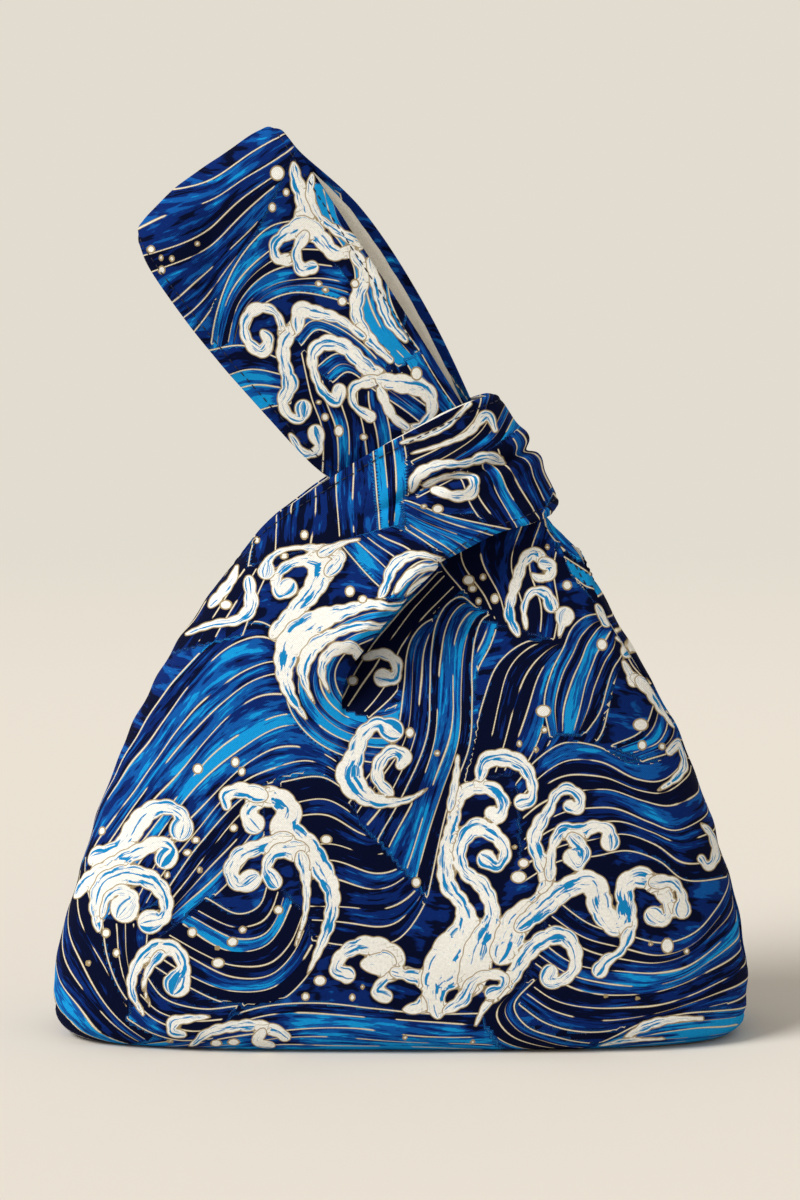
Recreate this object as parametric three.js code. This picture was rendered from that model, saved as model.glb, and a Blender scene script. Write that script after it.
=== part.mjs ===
// A Japanese knot bag: two printed cotton panels and two plain lining panels, sewn at the sides,
// along the bottom and at the tops of the handles. The long handle of the right side passes through
// the short handle of the left side, which wraps round it and holds the mouth shut.
// Millimetres, +Z up, the front faces -Y, the origin is the middle of the flat bottom.
import * as THREE from 'three';

// Cloth
const PRINT_THICKNESS = 1.0;
const LINING_THICKNESS = 0.5;
const LAYER_GAP = 0.35; // between the printed cotton and the lining
const SEAM_GAP = 0.3; // between two panels where they are sewn edge to edge

// Body, the size of its outside at the bottom and at the shoulders
const BOTTOM_WIDTH = 263;
const BOTTOM_DEPTH = 100;
const BOTTOM_ROUNDING = 11; // of the soft edge between bottom and wall
const SHOULDER_WIDTH = 135;
const SHOULDER_DEPTH = 54;
const SHOULDER_HEIGHT = 181; // where the left side seam ends and the handles begin
const SHOULDER_DROP = 11; // how much lower the right side seam ends
const SHOULDER_SHIFT = 4.5; // how far the shoulders lean to the right
const SEAM_TURN = 0.4; // how far the side seams are turned round the body, in radians

// Handles: each fold is given by its middle, its width and its slope
const LONG_SPREAD = 17; // between the outsides of the two layers of the long handle
const LONG_TOP = { x: -71, z: 320, width: 69, lean: 33 };
const LONG_KNOT = { x: -1, z: 222, width: 62, lean: 13 };
const TOP_ROLL = 8; // how far the middle of the top fold rises over its corners
const BAND_SPREAD = 37; // across the knot, between the outsides of the short handle's two layers
const BAND_END = { x: 47, z: 221.5, width: 50, lean: -60 };
const BACK_SHIFT = 6; // how far the back layer of the long handle shows past the front one

// Pleat, where the left half of the front laps over the right half below the mouth
const MOUTH_X = 14;
const PLEAT_LIP = 3.5;
const PLEAT_HOLLOW = 10;
const PLEAT_FOOT = 138; // height at which the pleat has opened out
const DIMPLE_DEPTH = 5;
const VALLEY_DEPTH = 3.5;

// Mesh
const COLUMNS_LEFT = 11;
const COLUMNS_RIGHT = 9;
const COLUMNS = COLUMNS_LEFT + COLUMNS_RIGHT;
const BASE_ROWS = 3;
const EDGE_ROWS = 3;
const WALL_ROWS = 13;
const BAND_ROWS = 13;
const LONG_ROWS = 20;
const RELAX_TIMES = 6;

const vec = (x, y, z) => new THREE.Vector3(x, y, z);
const bell = (x, width) => Math.exp(-((x / width) ** 2));

// A value that changes smoothly with height, from pairs of height and value
function profile(pairs) {
  const curve = new THREE.CatmullRomCurve3(
    pairs.map(([height, value]) => vec(height, value, 0)), false, 'catmullrom', 0.5);
  const table = curve.getPoints(200);
  return (height) => {
    const next = table.findIndex((p) => p.x >= height);
    if (next < 0) return table[table.length - 1].y;
    if (next === 0) return table[0].y;
    const low = table[next - 1];
    const high = table[next];
    return THREE.MathUtils.mapLinear(height, low.x, high.x, low.y, high.y);
  };
}

// Outline of the body by height: pairs of a share of the height and a share of the taper
const taper = (bottom, top, shares) => profile(shares.map(([at, share]) =>
  [at * SHOULDER_HEIGHT, bottom + (top - bottom) * share]));
const halfWidth = taper(BOTTOM_WIDTH / 2, SHOULDER_WIDTH / 2,
  [[0, 0], [0.17, 0.01], [0.33, 0.11], [0.5, 0.27], [0.66, 0.45], [0.83, 0.69], [1, 1]]);
const halfDepth = taper(BOTTOM_DEPTH / 2, SHOULDER_DEPTH / 2,
  [[0, 0], [0.17, 0], [0.33, 0.08], [0.5, 0.25], [0.66, 0.47], [0.83, 0.72], [1, 1]]);
const middle = taper(0, SHOULDER_SHIFT, [[0, 0], [0.17, 0], [0.33, 0.25], [0.66, 0.35], [1, 1]]);
const squareness = taper(3.4, 2, [[0, 0], [0.33, 0.45], [0.66, 0.85], [1, 1]]);
const rightTurn = taper(0, SEAM_TURN,
  [[0, 0.3], [0.12, 0.4], [0.25, 0.4], [0.5, 0.15], [0.66, 0.5], [0.83, 1], [1, 0.8]]);
const leftTurn = taper(0, SEAM_TURN, [[0, 0.2], [0.33, 0.3], [0.66, 0.45], [1, 0.5]]);

// Where the column under the mouth runs: straight up, then along the pleat's edge to the mouth
const splitX = taper(0, MOUTH_X, [[0, 0], [0.33, -0.7], [0.66, -1.5], [0.77, -1.4], [0.88, -0.4], [1, 1]]);

// A point of the outside at one height; a turn of 0 is the left, PI / 2 the front and PI the right
function section(height, turn) {
  const power = squareness(height);
  const c = Math.cos(turn);
  const s = Math.sin(turn);
  const reach = (Math.abs(c) ** power + Math.abs(s) ** power) ** (-1 / power);
  const x = middle(height) - halfWidth(height) * reach * c;
  return vec(x, -halfDepth(height) * reach * s, height);
}

// Points at given shares of the length of a polyline
function resample(line, shares) {
  const reach = [0];
  for (let i = 1; i < line.length; i += 1) reach.push(reach[i - 1] + line[i].distanceTo(line[i - 1]));
  const total = reach[reach.length - 1];
  let i = 1;
  return shares.map((share) => {
    while (i < line.length - 1 && reach[i] < share * total) i += 1;
    const t = (share * total - reach[i - 1]) / (reach[i] - reach[i - 1]);
    return line[i - 1].clone().lerp(line[i], THREE.MathUtils.clamp(t, 0, 1));
  });
}

// Shares of a row's columns: even on both sides of the split, with a narrow pair at the pleat's edge
function columnShares(split) {
  const half = 0.008;
  const shares = [];
  for (let i = 0; i < COLUMNS_LEFT; i += 1) shares.push((split - half) * (i / (COLUMNS_LEFT - 1)));
  shares.push(split);
  for (let i = 0; i < COLUMNS_RIGHT; i += 1) {
    shares.push(split + half + (1 - split - half) * (i / (COLUMNS_RIGHT - 1)));
  }
  return shares;
}

// One row across a panel at a height that may change along it. side is -1 in front, 1 at the back.
function bodyRow(side, heightAt) {
  const steps = 240;
  const line = [];
  for (let i = 0; i <= steps; i += 1) {
    const height = heightAt(i / steps);
    const from = -leftTurn(height);
    const to = side < 0 ? Math.PI - rightTurn(height) : -Math.PI - rightTurn(height);
    line.push(section(height, from + (to - from) * (i / steps)));
  }
  const reach = [0];
  for (let i = 1; i <= steps; i += 1) reach.push(reach[i - 1] + line[i].distanceTo(line[i - 1]));
  const at = line.findIndex((p, i) => i > steps / 5 && p.x >= splitX(p.z));
  return resample(line, columnShares(reach[at] / reach[steps]));
}

// The pleat with its dimple, and the soft valley below it, press a panel in and out
function folded(side, point, column) {
  const seamward = Math.min(1, (6 * column) / COLUMNS, (6 * (COLUMNS + 1 - column)) / COLUMNS - 0.3);
  const rise = THREE.MathUtils.smoothstep(point.z, PLEAT_FOOT, SHOULDER_HEIGHT - 10);
  const across = point.x - splitX(point.z);
  const lip = -PLEAT_LIP * bell(across, 15);
  const hollow = PLEAT_HOLLOW * bell(across, 34);
  const step = column < COLUMNS_LEFT ? lip : hollow;
  const pleat = column === COLUMNS_LEFT ? (lip + hollow) / 2 : step;
  const dimple = DIMPLE_DEPTH * bell(point.x + 9, 12) * bell(point.z - PLEAT_FOOT, 14);
  const valley = VALLEY_DEPTH * bell(point.x - 11 - (point.z - 47) * 0.2, 20) * bell(point.z - 105, 55);
  const depth = (rise * pleat + dimple + valley) * Math.max(0, seamward);
  return vec(point.x, point.y - side * depth, point.z);
}

// The two corners of a fold of a handle, left and right
function corners(fold) {
  const lean = THREE.MathUtils.degToRad(fold.lean);
  const dx = (Math.cos(lean) * fold.width) / 2;
  const dz = (Math.sin(lean) * fold.width) / 2;
  return [vec(fold.x - dx, 0, fold.z - dz), vec(fold.x + dx, 0, fold.z + dz)];
}

// An edge of a handle from the body to a fold, where it turns round to the other layer
function edgeLine(root, start, points) {
  const last = points[points.length - 1];
  const before = points[points.length - 2];
  const beyond = vec(before.x, 2 * last.y - before.y, before.z);
  const through = [root, start, ...points, beyond];
  const curve = new THREE.CatmullRomCurve3(through, false, 'centripetal');
  const spans = through.length - 1;
  const line = [];
  for (let i = 0; i <= 40 * (spans - 2); i += 1) line.push(curve.getPoint((1 + i / 40) / spans));
  return line;
}

// A strip of cloth between two edges; its first row is the body's and fades out along it
function strip(firstRow, leftEdge, rightEdge, rows, crown, roll) {
  const shares = Array.from({ length: rows + 1 }, (_, i) => 1 - (1 - i / rows) ** 1.25);
  const left = resample(leftEdge, shares);
  const right = resample(rightEdge, shares);
  const count = firstRow.length - 1;
  return shares.slice(1).map((t, i) => firstRow.map((first, j) => {
    const w = j / count;
    const chord = left[0].clone().lerp(right[0], w);
    const point = left[i + 1].clone().lerp(right[i + 1], w);
    const fade = (1 - Math.min(1, t / 0.6)) ** 2;
    point.addScaledVector(first.clone().sub(chord), fade);
    point.y += crown(t) * 4 * w * (1 - w);
    point.addScaledVector(roll, Math.sqrt(Math.sin(Math.PI * w)) * t ** 4);
    return point;
  }));
}

// The edges of both handles on one side of the bag
function handleEdges(side, row, rowBelow) {
  const front = side < 0;
  const long = (side * LONG_SPREAD) / 2;
  const band = (side * BAND_SPREAD) / 2;
  const shift = front ? 0 : BACK_SHIFT;
  const [topLeft, topRight] = corners(LONG_TOP);
  const [knotLeft, knotRight] = corners(LONG_KNOT);
  const [bandTop, bandFoot] = corners(BAND_END);
  const split = row[COLUMNS_LEFT];
  const left = row[0];
  const right = row[COLUMNS];
  const mouth = split.y;
  const near = (p, dx, y, dz) => vec(p.x + dx, y, p.z + dz);
  const along = (a, b, share, bow, y) => vec(
    a.x + (b.x - a.x) * share + bow * (b.z - a.z) / a.distanceTo(b),
    y,
    a.z + (b.z - a.z) * share - bow * (b.x - a.x) / a.distanceTo(b));
  const root = (j) => rowBelow[j];
  return {
    bandArm: edgeLine(root(0), left, [
      near(left, 9, band * 0.45, 12), near(left, 22, band * 0.8, 22),
      near(bandTop, -61, band * 0.95, -31), near(bandTop, -47, band, -22),
      near(bandTop, -30, band, -13), near(bandTop, -14, band * 0.92, -5),
      near(bandTop, -3, band * 0.55, -0.5), near(bandTop, 0, 0, 0)]),
    bandMouth: edgeLine(root(COLUMNS_LEFT), split, [
      near(split, 3, mouth + side * 5, 2), near(split, 12, mouth + side * 5, 5.5),
      near(bandFoot, -24, band * 1.25, -9), near(bandFoot, -12, band * 1.05, -5),
      near(bandFoot, -3, band * 0.6, -2), near(bandFoot, 0, 0, 0)]),
    longMouth: edgeLine(root(COLUMNS_LEFT), split, [
      near(split, -6, mouth * 0.75, 9), near(split, -17, long * 1.35, 20),
      near(knotLeft, 11, long * 1.1, -6), near(knotLeft, 0, long, 0),
      along(knotLeft, topLeft, 0.3, -3, long), along(knotLeft, topLeft, 0.65, -4, long),
      along(knotLeft, topLeft, 0.93, -2, long * 0.85), near(topLeft, 0, 0, 0)]),
    longArm: edgeLine(root(COLUMNS), right, [
      near(right, -6, long * 1.3, 12), near(right, -20, long * 1.1, 28),
      near(knotRight, 8, long * 0.95, -14), near(knotRight, shift / 3, long * 0.95, 0),
      along(knotRight, topRight, 0.35, 1 + shift, long), along(knotRight, topRight, 0.7, 1 + shift, long),
      along(knotRight, topRight, 0.94, 0.5, long * 0.8), near(topRight, 0, 0, 0)]),
  };
}

// A panel is a list of points and of four-cornered faces, with the rows that meet another panel
function panel(side) {
  const points = [];
  const faces = [];
  const addRow = (row) => row.map((p) => points.push(p) - 1);
  const join = (low, high) => {
    for (let j = 0; j + 1 < low.length; j += 1) {
      const face = [low[j], low[j + 1], high[j + 1], high[j]];
      faces.push(side < 0 ? face : face.reverse());
    }
  };
  const wallFoot = bodyRow(side, () => BOTTOM_ROUNDING);
  const shrink = (row, share) => row.map((p) => vec(
    p.x * (1 - (BOTTOM_DEPTH / BOTTOM_WIDTH) * (1 - share)), p.y * share, 0));
  const inset = (p, angle) => {
    const back = BOTTOM_ROUNDING * (1 - Math.cos(angle));
    const out = vec(p.x / halfWidth(0) ** 2, p.y / halfDepth(0) ** 2, 0).normalize();
    return vec(p.x - out.x * back, p.y - out.y * back, BOTTOM_ROUNDING * (1 - Math.sin(angle)));
  };
  const rim = wallFoot.map((p) => inset(p, Math.PI / 2));
  let low = addRow(shrink(rim, 0));
  const bottom = low;
  const seams = [[low[0]], [low[COLUMNS]]];
  const next = (row) => {
    const high = addRow(row);
    join(low, high);
    low = high;
    seams[0].push(high[0]);
    seams[1].push(high[high.length - 1]);
    return row;
  };
  for (let i = 1; i <= BASE_ROWS; i += 1) next(shrink(rim, i / BASE_ROWS));
  for (let i = 1; i < EDGE_ROWS; i += 1) {
    next(wallFoot.map((p) => inset(p, (Math.PI / 2) * (1 - i / EDGE_ROWS))));
  }
  let last = next(wallFoot);
  let beforeLast = last;
  for (let i = 1; i <= WALL_ROWS; i += 1) {
    const drop = (share) => SHOULDER_DROP * THREE.MathUtils.smoothstep(share, 0.45, 1);
    const rise = i / WALL_ROWS;
    const heightAt = (share) => BOTTOM_ROUNDING + (SHOULDER_HEIGHT - BOTTOM_ROUNDING - drop(share)) * rise;
    const row = bodyRow(side, heightAt);
    beforeLast = last;
    last = next(row.map((p, j) => folded(side, p, j)));
  }
  const edges = handleEdges(side, last, beforeLast);
  const branch = low;
  const ends = [];
  const grow = (from, to, left, right, rows, crown, roll) => {
    let under = branch.slice(from, to + 1);
    for (const row of strip(last.slice(from, to + 1), left, right, rows, crown, roll)) {
      const high = addRow(row);
      join(under, high);
      under = high;
    }
    ends.push(under);
  };
  const puff = (share) => side * 3 * Math.sin(Math.PI * Math.min(1, share * 1.1)) ** 2;
  grow(0, COLUMNS_LEFT, edges.bandArm, edges.bandMouth, BAND_ROWS, puff, vec(2.5, 0, 1));
  const topLean = THREE.MathUtils.degToRad(LONG_TOP.lean);
  const up = vec(-Math.sin(topLean), 0, Math.cos(topLean)).multiplyScalar(TOP_ROLL);
  grow(COLUMNS_LEFT, COLUMNS, edges.longMouth, edges.longArm, LONG_ROWS, puff, up);
  return { points, faces, bottom, seams, ends };
}

// Moves points that lie inside a panel towards the middle of their neighbours
function relax(sheet, times, keep) {
  const around = sheet.points.map(() => new Set());
  const edgeUse = new Map();
  for (const face of sheet.faces) {
    face.forEach((a, k) => {
      const b = face[(k + 1) % 4];
      around[a].add(b);
      around[b].add(a);
      const key = a < b ? `${a} ${b}` : `${b} ${a}`;
      edgeUse.set(key, (edgeUse.get(key) || 0) + 1);
    });
  }
  const fixed = new Set();
  edgeUse.forEach((uses, key) => {
    if (uses === 1) key.split(' ').forEach((index) => fixed.add(Number(index)));
  });
  for (let round = 0; round < times; round += 1) {
    const moved = sheet.points.map((p, i) => {
      if (fixed.has(i) || keep(p)) return p;
      const mean = vec(0, 0, 0);
      around[i].forEach((k) => mean.add(sheet.points[k]));
      return p.clone().lerp(mean.divideScalar(around[i].size), 0.5);
    });
    sheet.points = moved;
  }
}

// Normals of both panels together, so that the layers keep their thickness round every seam
function sharedNormals(sheets) {
  const key = (p) => `${Math.round(p.x * 100)} ${Math.round(p.y * 100)} ${Math.round(p.z * 100)}`;
  const sums = new Map();
  for (const { points, faces } of sheets) {
    for (const [a, b, c, d] of faces) {
      const across = points[c].clone().sub(points[a]);
      const normal = across.cross(points[d].clone().sub(points[b]));
      for (const corner of [a, b, c, d]) {
        const at = key(points[corner]);
        if (!sums.has(at)) sums.set(at, vec(0, 0, 0));
        sums.get(at).add(normal);
      }
    }
  }
  return sheets.map(({ points }) => points.map((p) => sums.get(key(p)).clone().normalize()));
}

// Draws the sewn edges of a panel back by half the gap between two panels
function trimmed(sheet) {
  const points = sheet.points.map((p) => p.clone());
  const pull = (index, inner) => {
    const way = sheet.points[inner].clone().sub(sheet.points[index]).normalize();
    points[index].addScaledVector(way, SEAM_GAP / 2);
  };
  const width = COLUMNS + 1;
  sheet.bottom.forEach((index) => pull(index, index + width));
  sheet.seams[0].slice(1).forEach((index) => pull(index, index + 1));
  sheet.seams[1].slice(1).forEach((index) => pull(index, index - 1));
  sheet.ends.forEach((row) => row.forEach((index) => pull(index, index - row.length)));
  return points;
}

// A closed solid between two depths under the outside of a panel
function layer(sheet, points, normals, outside, inside) {
  const count = points.length;
  const positions = [];
  for (const depth of [outside, inside]) {
    points.forEach((p, i) => positions.push(...p.clone().addScaledVector(normals[i], -depth).toArray()));
  }
  const index = [];
  const open = new Map();
  for (const [a, b, c, d] of sheet.faces) {
    index.push(a, b, c, a, c, d);
    index.push(count + a, count + c, count + b, count + a, count + d, count + c);
    [[a, b], [b, c], [c, d], [d, a]].forEach(([from, to]) => {
      if (!open.delete(`${to} ${from}`)) open.set(`${from} ${to}`, [from, to]);
    });
  }
  for (const [from, to] of open.values()) {
    index.push(to, from, count + from, to, count + from, count + to);
  }
  const geometry = new THREE.BufferGeometry();
  geometry.setAttribute('position', new THREE.Float32BufferAttribute(positions, 3));
  geometry.setIndex(index);
  geometry.computeVertexNormals();
  return geometry;
}

const sheets = [panel(-1), panel(1)];
sheets.forEach((sheet) => relax(sheet, RELAX_TIMES, (p) => p.z < BOTTOM_ROUNDING + 1));
const normals = sharedNormals(sheets);
const liningDepth = PRINT_THICKNESS + LAYER_GAP;
const cotton = { color: 0x1c3f94, roughness: 0.85, metalness: 0 };
const plain = { color: 0xdedbd2, roughness: 0.9, metalness: 0 };

const group = new THREE.Group();
['front', 'back'].forEach((name, i) => {
  const points = trimmed(sheets[i]);
  const printed = layer(sheets[i], points, normals[i], 0, PRINT_THICKNESS);
  const lining = layer(sheets[i], points, normals[i], liningDepth, liningDepth + LINING_THICKNESS);
  [[`outer_${name}_panel`, printed, cotton], [`lining_${name}_panel`, lining, plain]].forEach(
    ([meshName, geometry, look]) => {
      const mesh = new THREE.Mesh(geometry, new THREE.MeshStandardMaterial(look));
      mesh.name = meshName;
      group.add(mesh);
    });
});
export default group;
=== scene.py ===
import math

import bpy
import numpy as np
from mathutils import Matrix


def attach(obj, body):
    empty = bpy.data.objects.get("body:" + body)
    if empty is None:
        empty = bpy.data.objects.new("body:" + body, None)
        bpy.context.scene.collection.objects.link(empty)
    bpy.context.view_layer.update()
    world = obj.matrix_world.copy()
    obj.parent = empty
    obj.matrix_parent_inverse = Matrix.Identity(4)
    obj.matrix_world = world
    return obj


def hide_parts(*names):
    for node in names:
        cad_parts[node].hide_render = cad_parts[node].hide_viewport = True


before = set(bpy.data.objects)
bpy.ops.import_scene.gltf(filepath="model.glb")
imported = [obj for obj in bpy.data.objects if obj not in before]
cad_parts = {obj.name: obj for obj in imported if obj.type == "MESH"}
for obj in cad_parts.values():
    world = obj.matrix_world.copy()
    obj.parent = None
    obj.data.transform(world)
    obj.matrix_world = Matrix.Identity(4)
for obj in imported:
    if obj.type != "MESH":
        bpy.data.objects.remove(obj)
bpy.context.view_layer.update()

# A Japanese knot bag in printed cotton with a pale lining. All shapes are worked out in
# millimetres and made in metres; +Z is up and the front faces -Y.
MM = 0.001
FRONT, BACK = -1, 1

# Cloth
PRINT_THICKNESS = 0.9
LINING_THICKNESS = 0.4
LAYER_GAP = 0.25
SEAM_GAP = 0.16
LINING_SHOWS, LINING_SHOWS_BAND = 0.4, 1.2  # past a free edge, and past the short handle's upper edge
HEM_TURNED = 3.8  # print turned in along the right edge of the back's long handle

# Body
BOTTOM_WIDTH, BOTTOM_DEPTH, BOTTOM_ROUNDING = 263, 100, 11
SHOULDER_WIDTH, SHOULDER_DEPTH, SHOULDER_HEIGHT = 135, 54, 181
SHOULDER_DROP, SHOULDER_SHIFT, SEAM_TURN = 11, 4.5, 0.4

# Handles: the gap between front and back, the roundness of the long handle's top and how far the
# back's edge stands out to the right. A line across is its middle, its width and its slope in degrees.
LONG_SPREAD, BAND_SPREAD, TOP_ROLL, BACK_SHIFT = 17, 37, 7.5, 7.5
ROWS_CLOSER = 1.25  # rows lie closer together towards a fold
BODY_FADES = 0.6  # the share of a handle's length in which the body's curve is lost
HANDLE_BULGE, ROLL_FLATNESS = 12, 0.3
LONG_TOP = {"x": -71, "z": 320, "width": 69, "lean": 38}
LONG_KNOT = {"x": -1, "z": 222, "width": 62, "lean": 13}
BAND_END = {"x": 47, "z": 221.5, "width": 50, "lean": -60}

# Pleat below the mouth: the lip stands out, the hollow beside it is pressed in and tucked under
MOUTH_X, PLEAT_LIP, PLEAT_HOLLOW, PLEAT_FOOT = 14, 10, 20, 122
PLEAT_OVERLAP, PLEAT_DRAWN, DIMPLE_DEPTH, VALLEY_DEPTH = 12, 11, 9, 4.5
DIMPLE_X, DIMPLE_Z, PLEAT_GROWS = -15, 141, 34
LIP_REACH, HOLLOW_REACH, TUCK_REACH, TUCK_TURN = 15, 34, 12, 0.6
DIMPLE_ACROSS, DIMPLE_UP = 9, 12
VALLEY_FOOT, VALLEY_SLANT, VALLEY_ACROSS = (11, 47), 0.2, 20
VALLEY_Z, VALLEY_UP = 105, 55
RISER = 0.008  # half the share of a row that the pleat's turned edge takes

# The coarse net that carries the shape, and how finely each stretch of it is divided
COLUMNS_LEFT, COLUMNS_RIGHT = 22, 20
SPLIT = COLUMNS_LEFT
COLUMNS = COLUMNS_LEFT + COLUMNS_RIGHT
BASE_ROWS, EDGE_ROWS, WALL_ROWS, BAND_ROWS, LONG_ROWS = 4, 4, 26, 24, 42
FINE_ACROSS = 6
FINE_ROWS = {"base": 3, "edge": 3, "wall": 6, "band": 4, "long": 4}
INNER_STEP = 3  # the hidden side of a layer has every third point
SECTION_STEPS = 600
EASE, EASE_PASSES = 0.5, 24


def smoothstep(low, high, x):
    t = np.clip((x - low) / (high - low), 0, 1)
    return t * t * (3 - 2 * t)


def bell(x, width):
    return np.exp(-((x / width) ** 2))


def profile(*pairs):
    """A value that changes smoothly with height, from pairs of a share of the height and a value."""
    at, value = np.array(pairs, float).T
    slope = np.gradient(value, at)

    def read(height):
        x = np.clip(height / SHOULDER_HEIGHT, at[0], at[-1])
        i = np.clip(np.searchsorted(at, x) - 1, 0, len(at) - 2)
        span = at[i + 1] - at[i]
        t = (x - at[i]) / span
        return ((2 * t**3 - 3 * t**2 + 1) * value[i] + (t**3 - 2 * t**2 + t) * span * slope[i]
                + (3 * t**2 - 2 * t**3) * value[i + 1] + (t**3 - t**2) * span * slope[i + 1])

    return read


def taper(bottom, top, *shares):
    return profile(*[(at, bottom + (top - bottom) * share) for at, share in shares])


half_width = taper(BOTTOM_WIDTH / 2, SHOULDER_WIDTH / 2,
                   (0, 0), (0.17, 0.01), (0.33, 0.11), (0.5, 0.27), (0.66, 0.45), (0.83, 0.69), (1, 1))
half_depth = taper(BOTTOM_DEPTH / 2, SHOULDER_DEPTH / 2,
                   (0, 0), (0.17, 0), (0.33, 0.08), (0.5, 0.25), (0.66, 0.47), (0.83, 0.72), (1, 1))
middle = taper(0, SHOULDER_SHIFT, (0, 0), (0.17, 0), (0.33, 0.25), (0.66, 0.35), (1, 1))
squareness = taper(3.4, 2, (0, 0), (0.33, 0.45), (0.66, 0.85), (1, 1))
right_turn = taper(0, SEAM_TURN, (0, 0.3), (0.12, 0.4), (0.25, 0.4), (0.5, 0.15), (0.66, 0.5),
                   (0.83, 1), (1, 0.8))
left_turn = taper(0, SEAM_TURN, (0, 0.2), (0.33, 0.3), (0.66, 0.45), (1, 0.5))
split_x = taper(0, MOUTH_X, (0, 0), (0.33, -0.7), (0.66, -1.5), (0.77, -1.4), (0.88, -0.4), (1, 1))


def section(height, turn):
    """Points of the outside; a turn of 0 is the left, pi / 2 the front and pi the right."""
    power = squareness(height)
    c, s = np.cos(turn), np.sin(turn)
    reach = (np.abs(c) ** power + np.abs(s) ** power) ** (-1 / power)
    return np.stack([middle(height) - half_width(height) * reach * c,
                     -half_depth(height) * reach * s, height], axis=-1)


def lengths(line):
    steps = np.linalg.norm(np.diff(line, axis=0), axis=1)
    return np.concatenate([[0], np.cumsum(steps)])


def resample(line, shares):
    reach = lengths(line)
    at = np.asarray(shares) * reach[-1]
    return np.stack([np.interp(at, reach, line[:, k]) for k in range(3)], axis=1)


def column_shares(split):
    """Shares of a row's length: closer together towards the split, with the pleat's edge between."""
    w = np.linspace(0, 1, COLUMNS_LEFT - 1)
    left = (split - RISER) * w * (1.25 - 0.25 * w)
    w = np.linspace(1, 0, COLUMNS_RIGHT - 1)
    right = 1 - (1 - split - RISER) * w * (1.25 - 0.25 * w)
    near = split + RISER * np.array([-0.5, 0, 0.5])
    return np.concatenate([left, near, right])


def body_row(side, height_at):
    share = np.linspace(0, 1, SECTION_STEPS + 1)
    height = height_at(share)
    start = -left_turn(height)
    end = (math.pi if side == FRONT else -math.pi) - right_turn(height)
    line = section(height, start + (end - start) * share)
    reach = lengths(line)
    past = (share > 0.2) & (line[:, 0] >= split_x(line[:, 2]))
    shares = column_shares(reach[np.argmax(past)] / reach[-1])
    return resample(line, shares)


def folded(side, row):
    """The pleat with its dimple, and the soft valley below it, press a panel in and out."""
    column = np.arange(COLUMNS + 1)
    x, y, z = row.T
    seamward = np.clip(np.minimum(6 * column, 6 * (COLUMNS - column)) / COLUMNS, 0, 1)
    rise = smoothstep(PLEAT_FOOT, PLEAT_FOOT + PLEAT_GROWS, z)
    across = x - split_x(z)
    turned = np.clip((column - SPLIT) / 2, -1, 1)
    over = 0.5 + 0.5 * np.sin(turned * math.pi / 2)
    lip = -PLEAT_LIP * bell(across, LIP_REACH)
    hollow = PLEAT_HOLLOW * bell(across, HOLLOW_REACH)
    dimple = DIMPLE_DEPTH * bell(x - DIMPLE_X, DIMPLE_ACROSS) * bell(z - DIMPLE_Z, DIMPLE_UP)
    valley_x = VALLEY_FOOT[0] + (z - VALLEY_FOOT[1]) * VALLEY_SLANT
    valley = VALLEY_DEPTH * bell(x - valley_x, VALLEY_ACROSS) * bell(z - VALLEY_Z, VALLEY_UP)
    depth = (rise * (lip * (1 - over) + hollow * over) + dimple + valley) * seamward
    tuck = bell(across, TUCK_REACH) * np.cos(turned * math.pi / 2 + TUCK_TURN) * (turned < 1)
    push = PLEAT_OVERLAP * rise * tuck
    drawn = PLEAT_DRAWN * rise * bell(across, HOLLOW_REACH)
    return np.stack([x + push - drawn, y - side * depth, z], axis=1)


def corners(fold):
    lean = math.radians(fold["lean"])
    half = np.array([math.cos(lean), 0, math.sin(lean)]) * fold["width"] / 2
    mid = np.array([fold["x"], 0, fold["z"]])
    return mid - half, mid + half


def through(points, per_span=40):
    """A centripetal Catmull-Rom curve through all points but the first and the last."""
    p = np.array(points, float)
    knots = np.concatenate([[0], np.cumsum(np.linalg.norm(np.diff(p, axis=0), axis=1) ** 0.5)])
    out = []
    for i in range(1, len(p) - 2):
        t0, t1, t2, t3 = knots[i - 1:i + 3]
        t = np.linspace(t1, t2, per_span, endpoint=False)[:, None]
        a1 = (t1 - t) / (t1 - t0) * p[i - 1] + (t - t0) / (t1 - t0) * p[i]
        a2 = (t2 - t) / (t2 - t1) * p[i] + (t - t1) / (t2 - t1) * p[i + 1]
        a3 = (t3 - t) / (t3 - t2) * p[i + 1] + (t - t2) / (t3 - t2) * p[i + 2]
        b1 = (t2 - t) / (t2 - t0) * a1 + (t - t0) / (t2 - t0) * a2
        b2 = (t3 - t) / (t3 - t1) * a2 + (t - t1) / (t3 - t1) * a3
        out.append((t2 - t) / (t2 - t1) * b1 + (t - t1) / (t2 - t1) * b2)
    return np.concatenate(out + [p[-2:-1]])


def edge_line(root, start, *points):
    beyond = points[-2] * [1, -1, 1]
    return through([root, start, *points, beyond])


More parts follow.
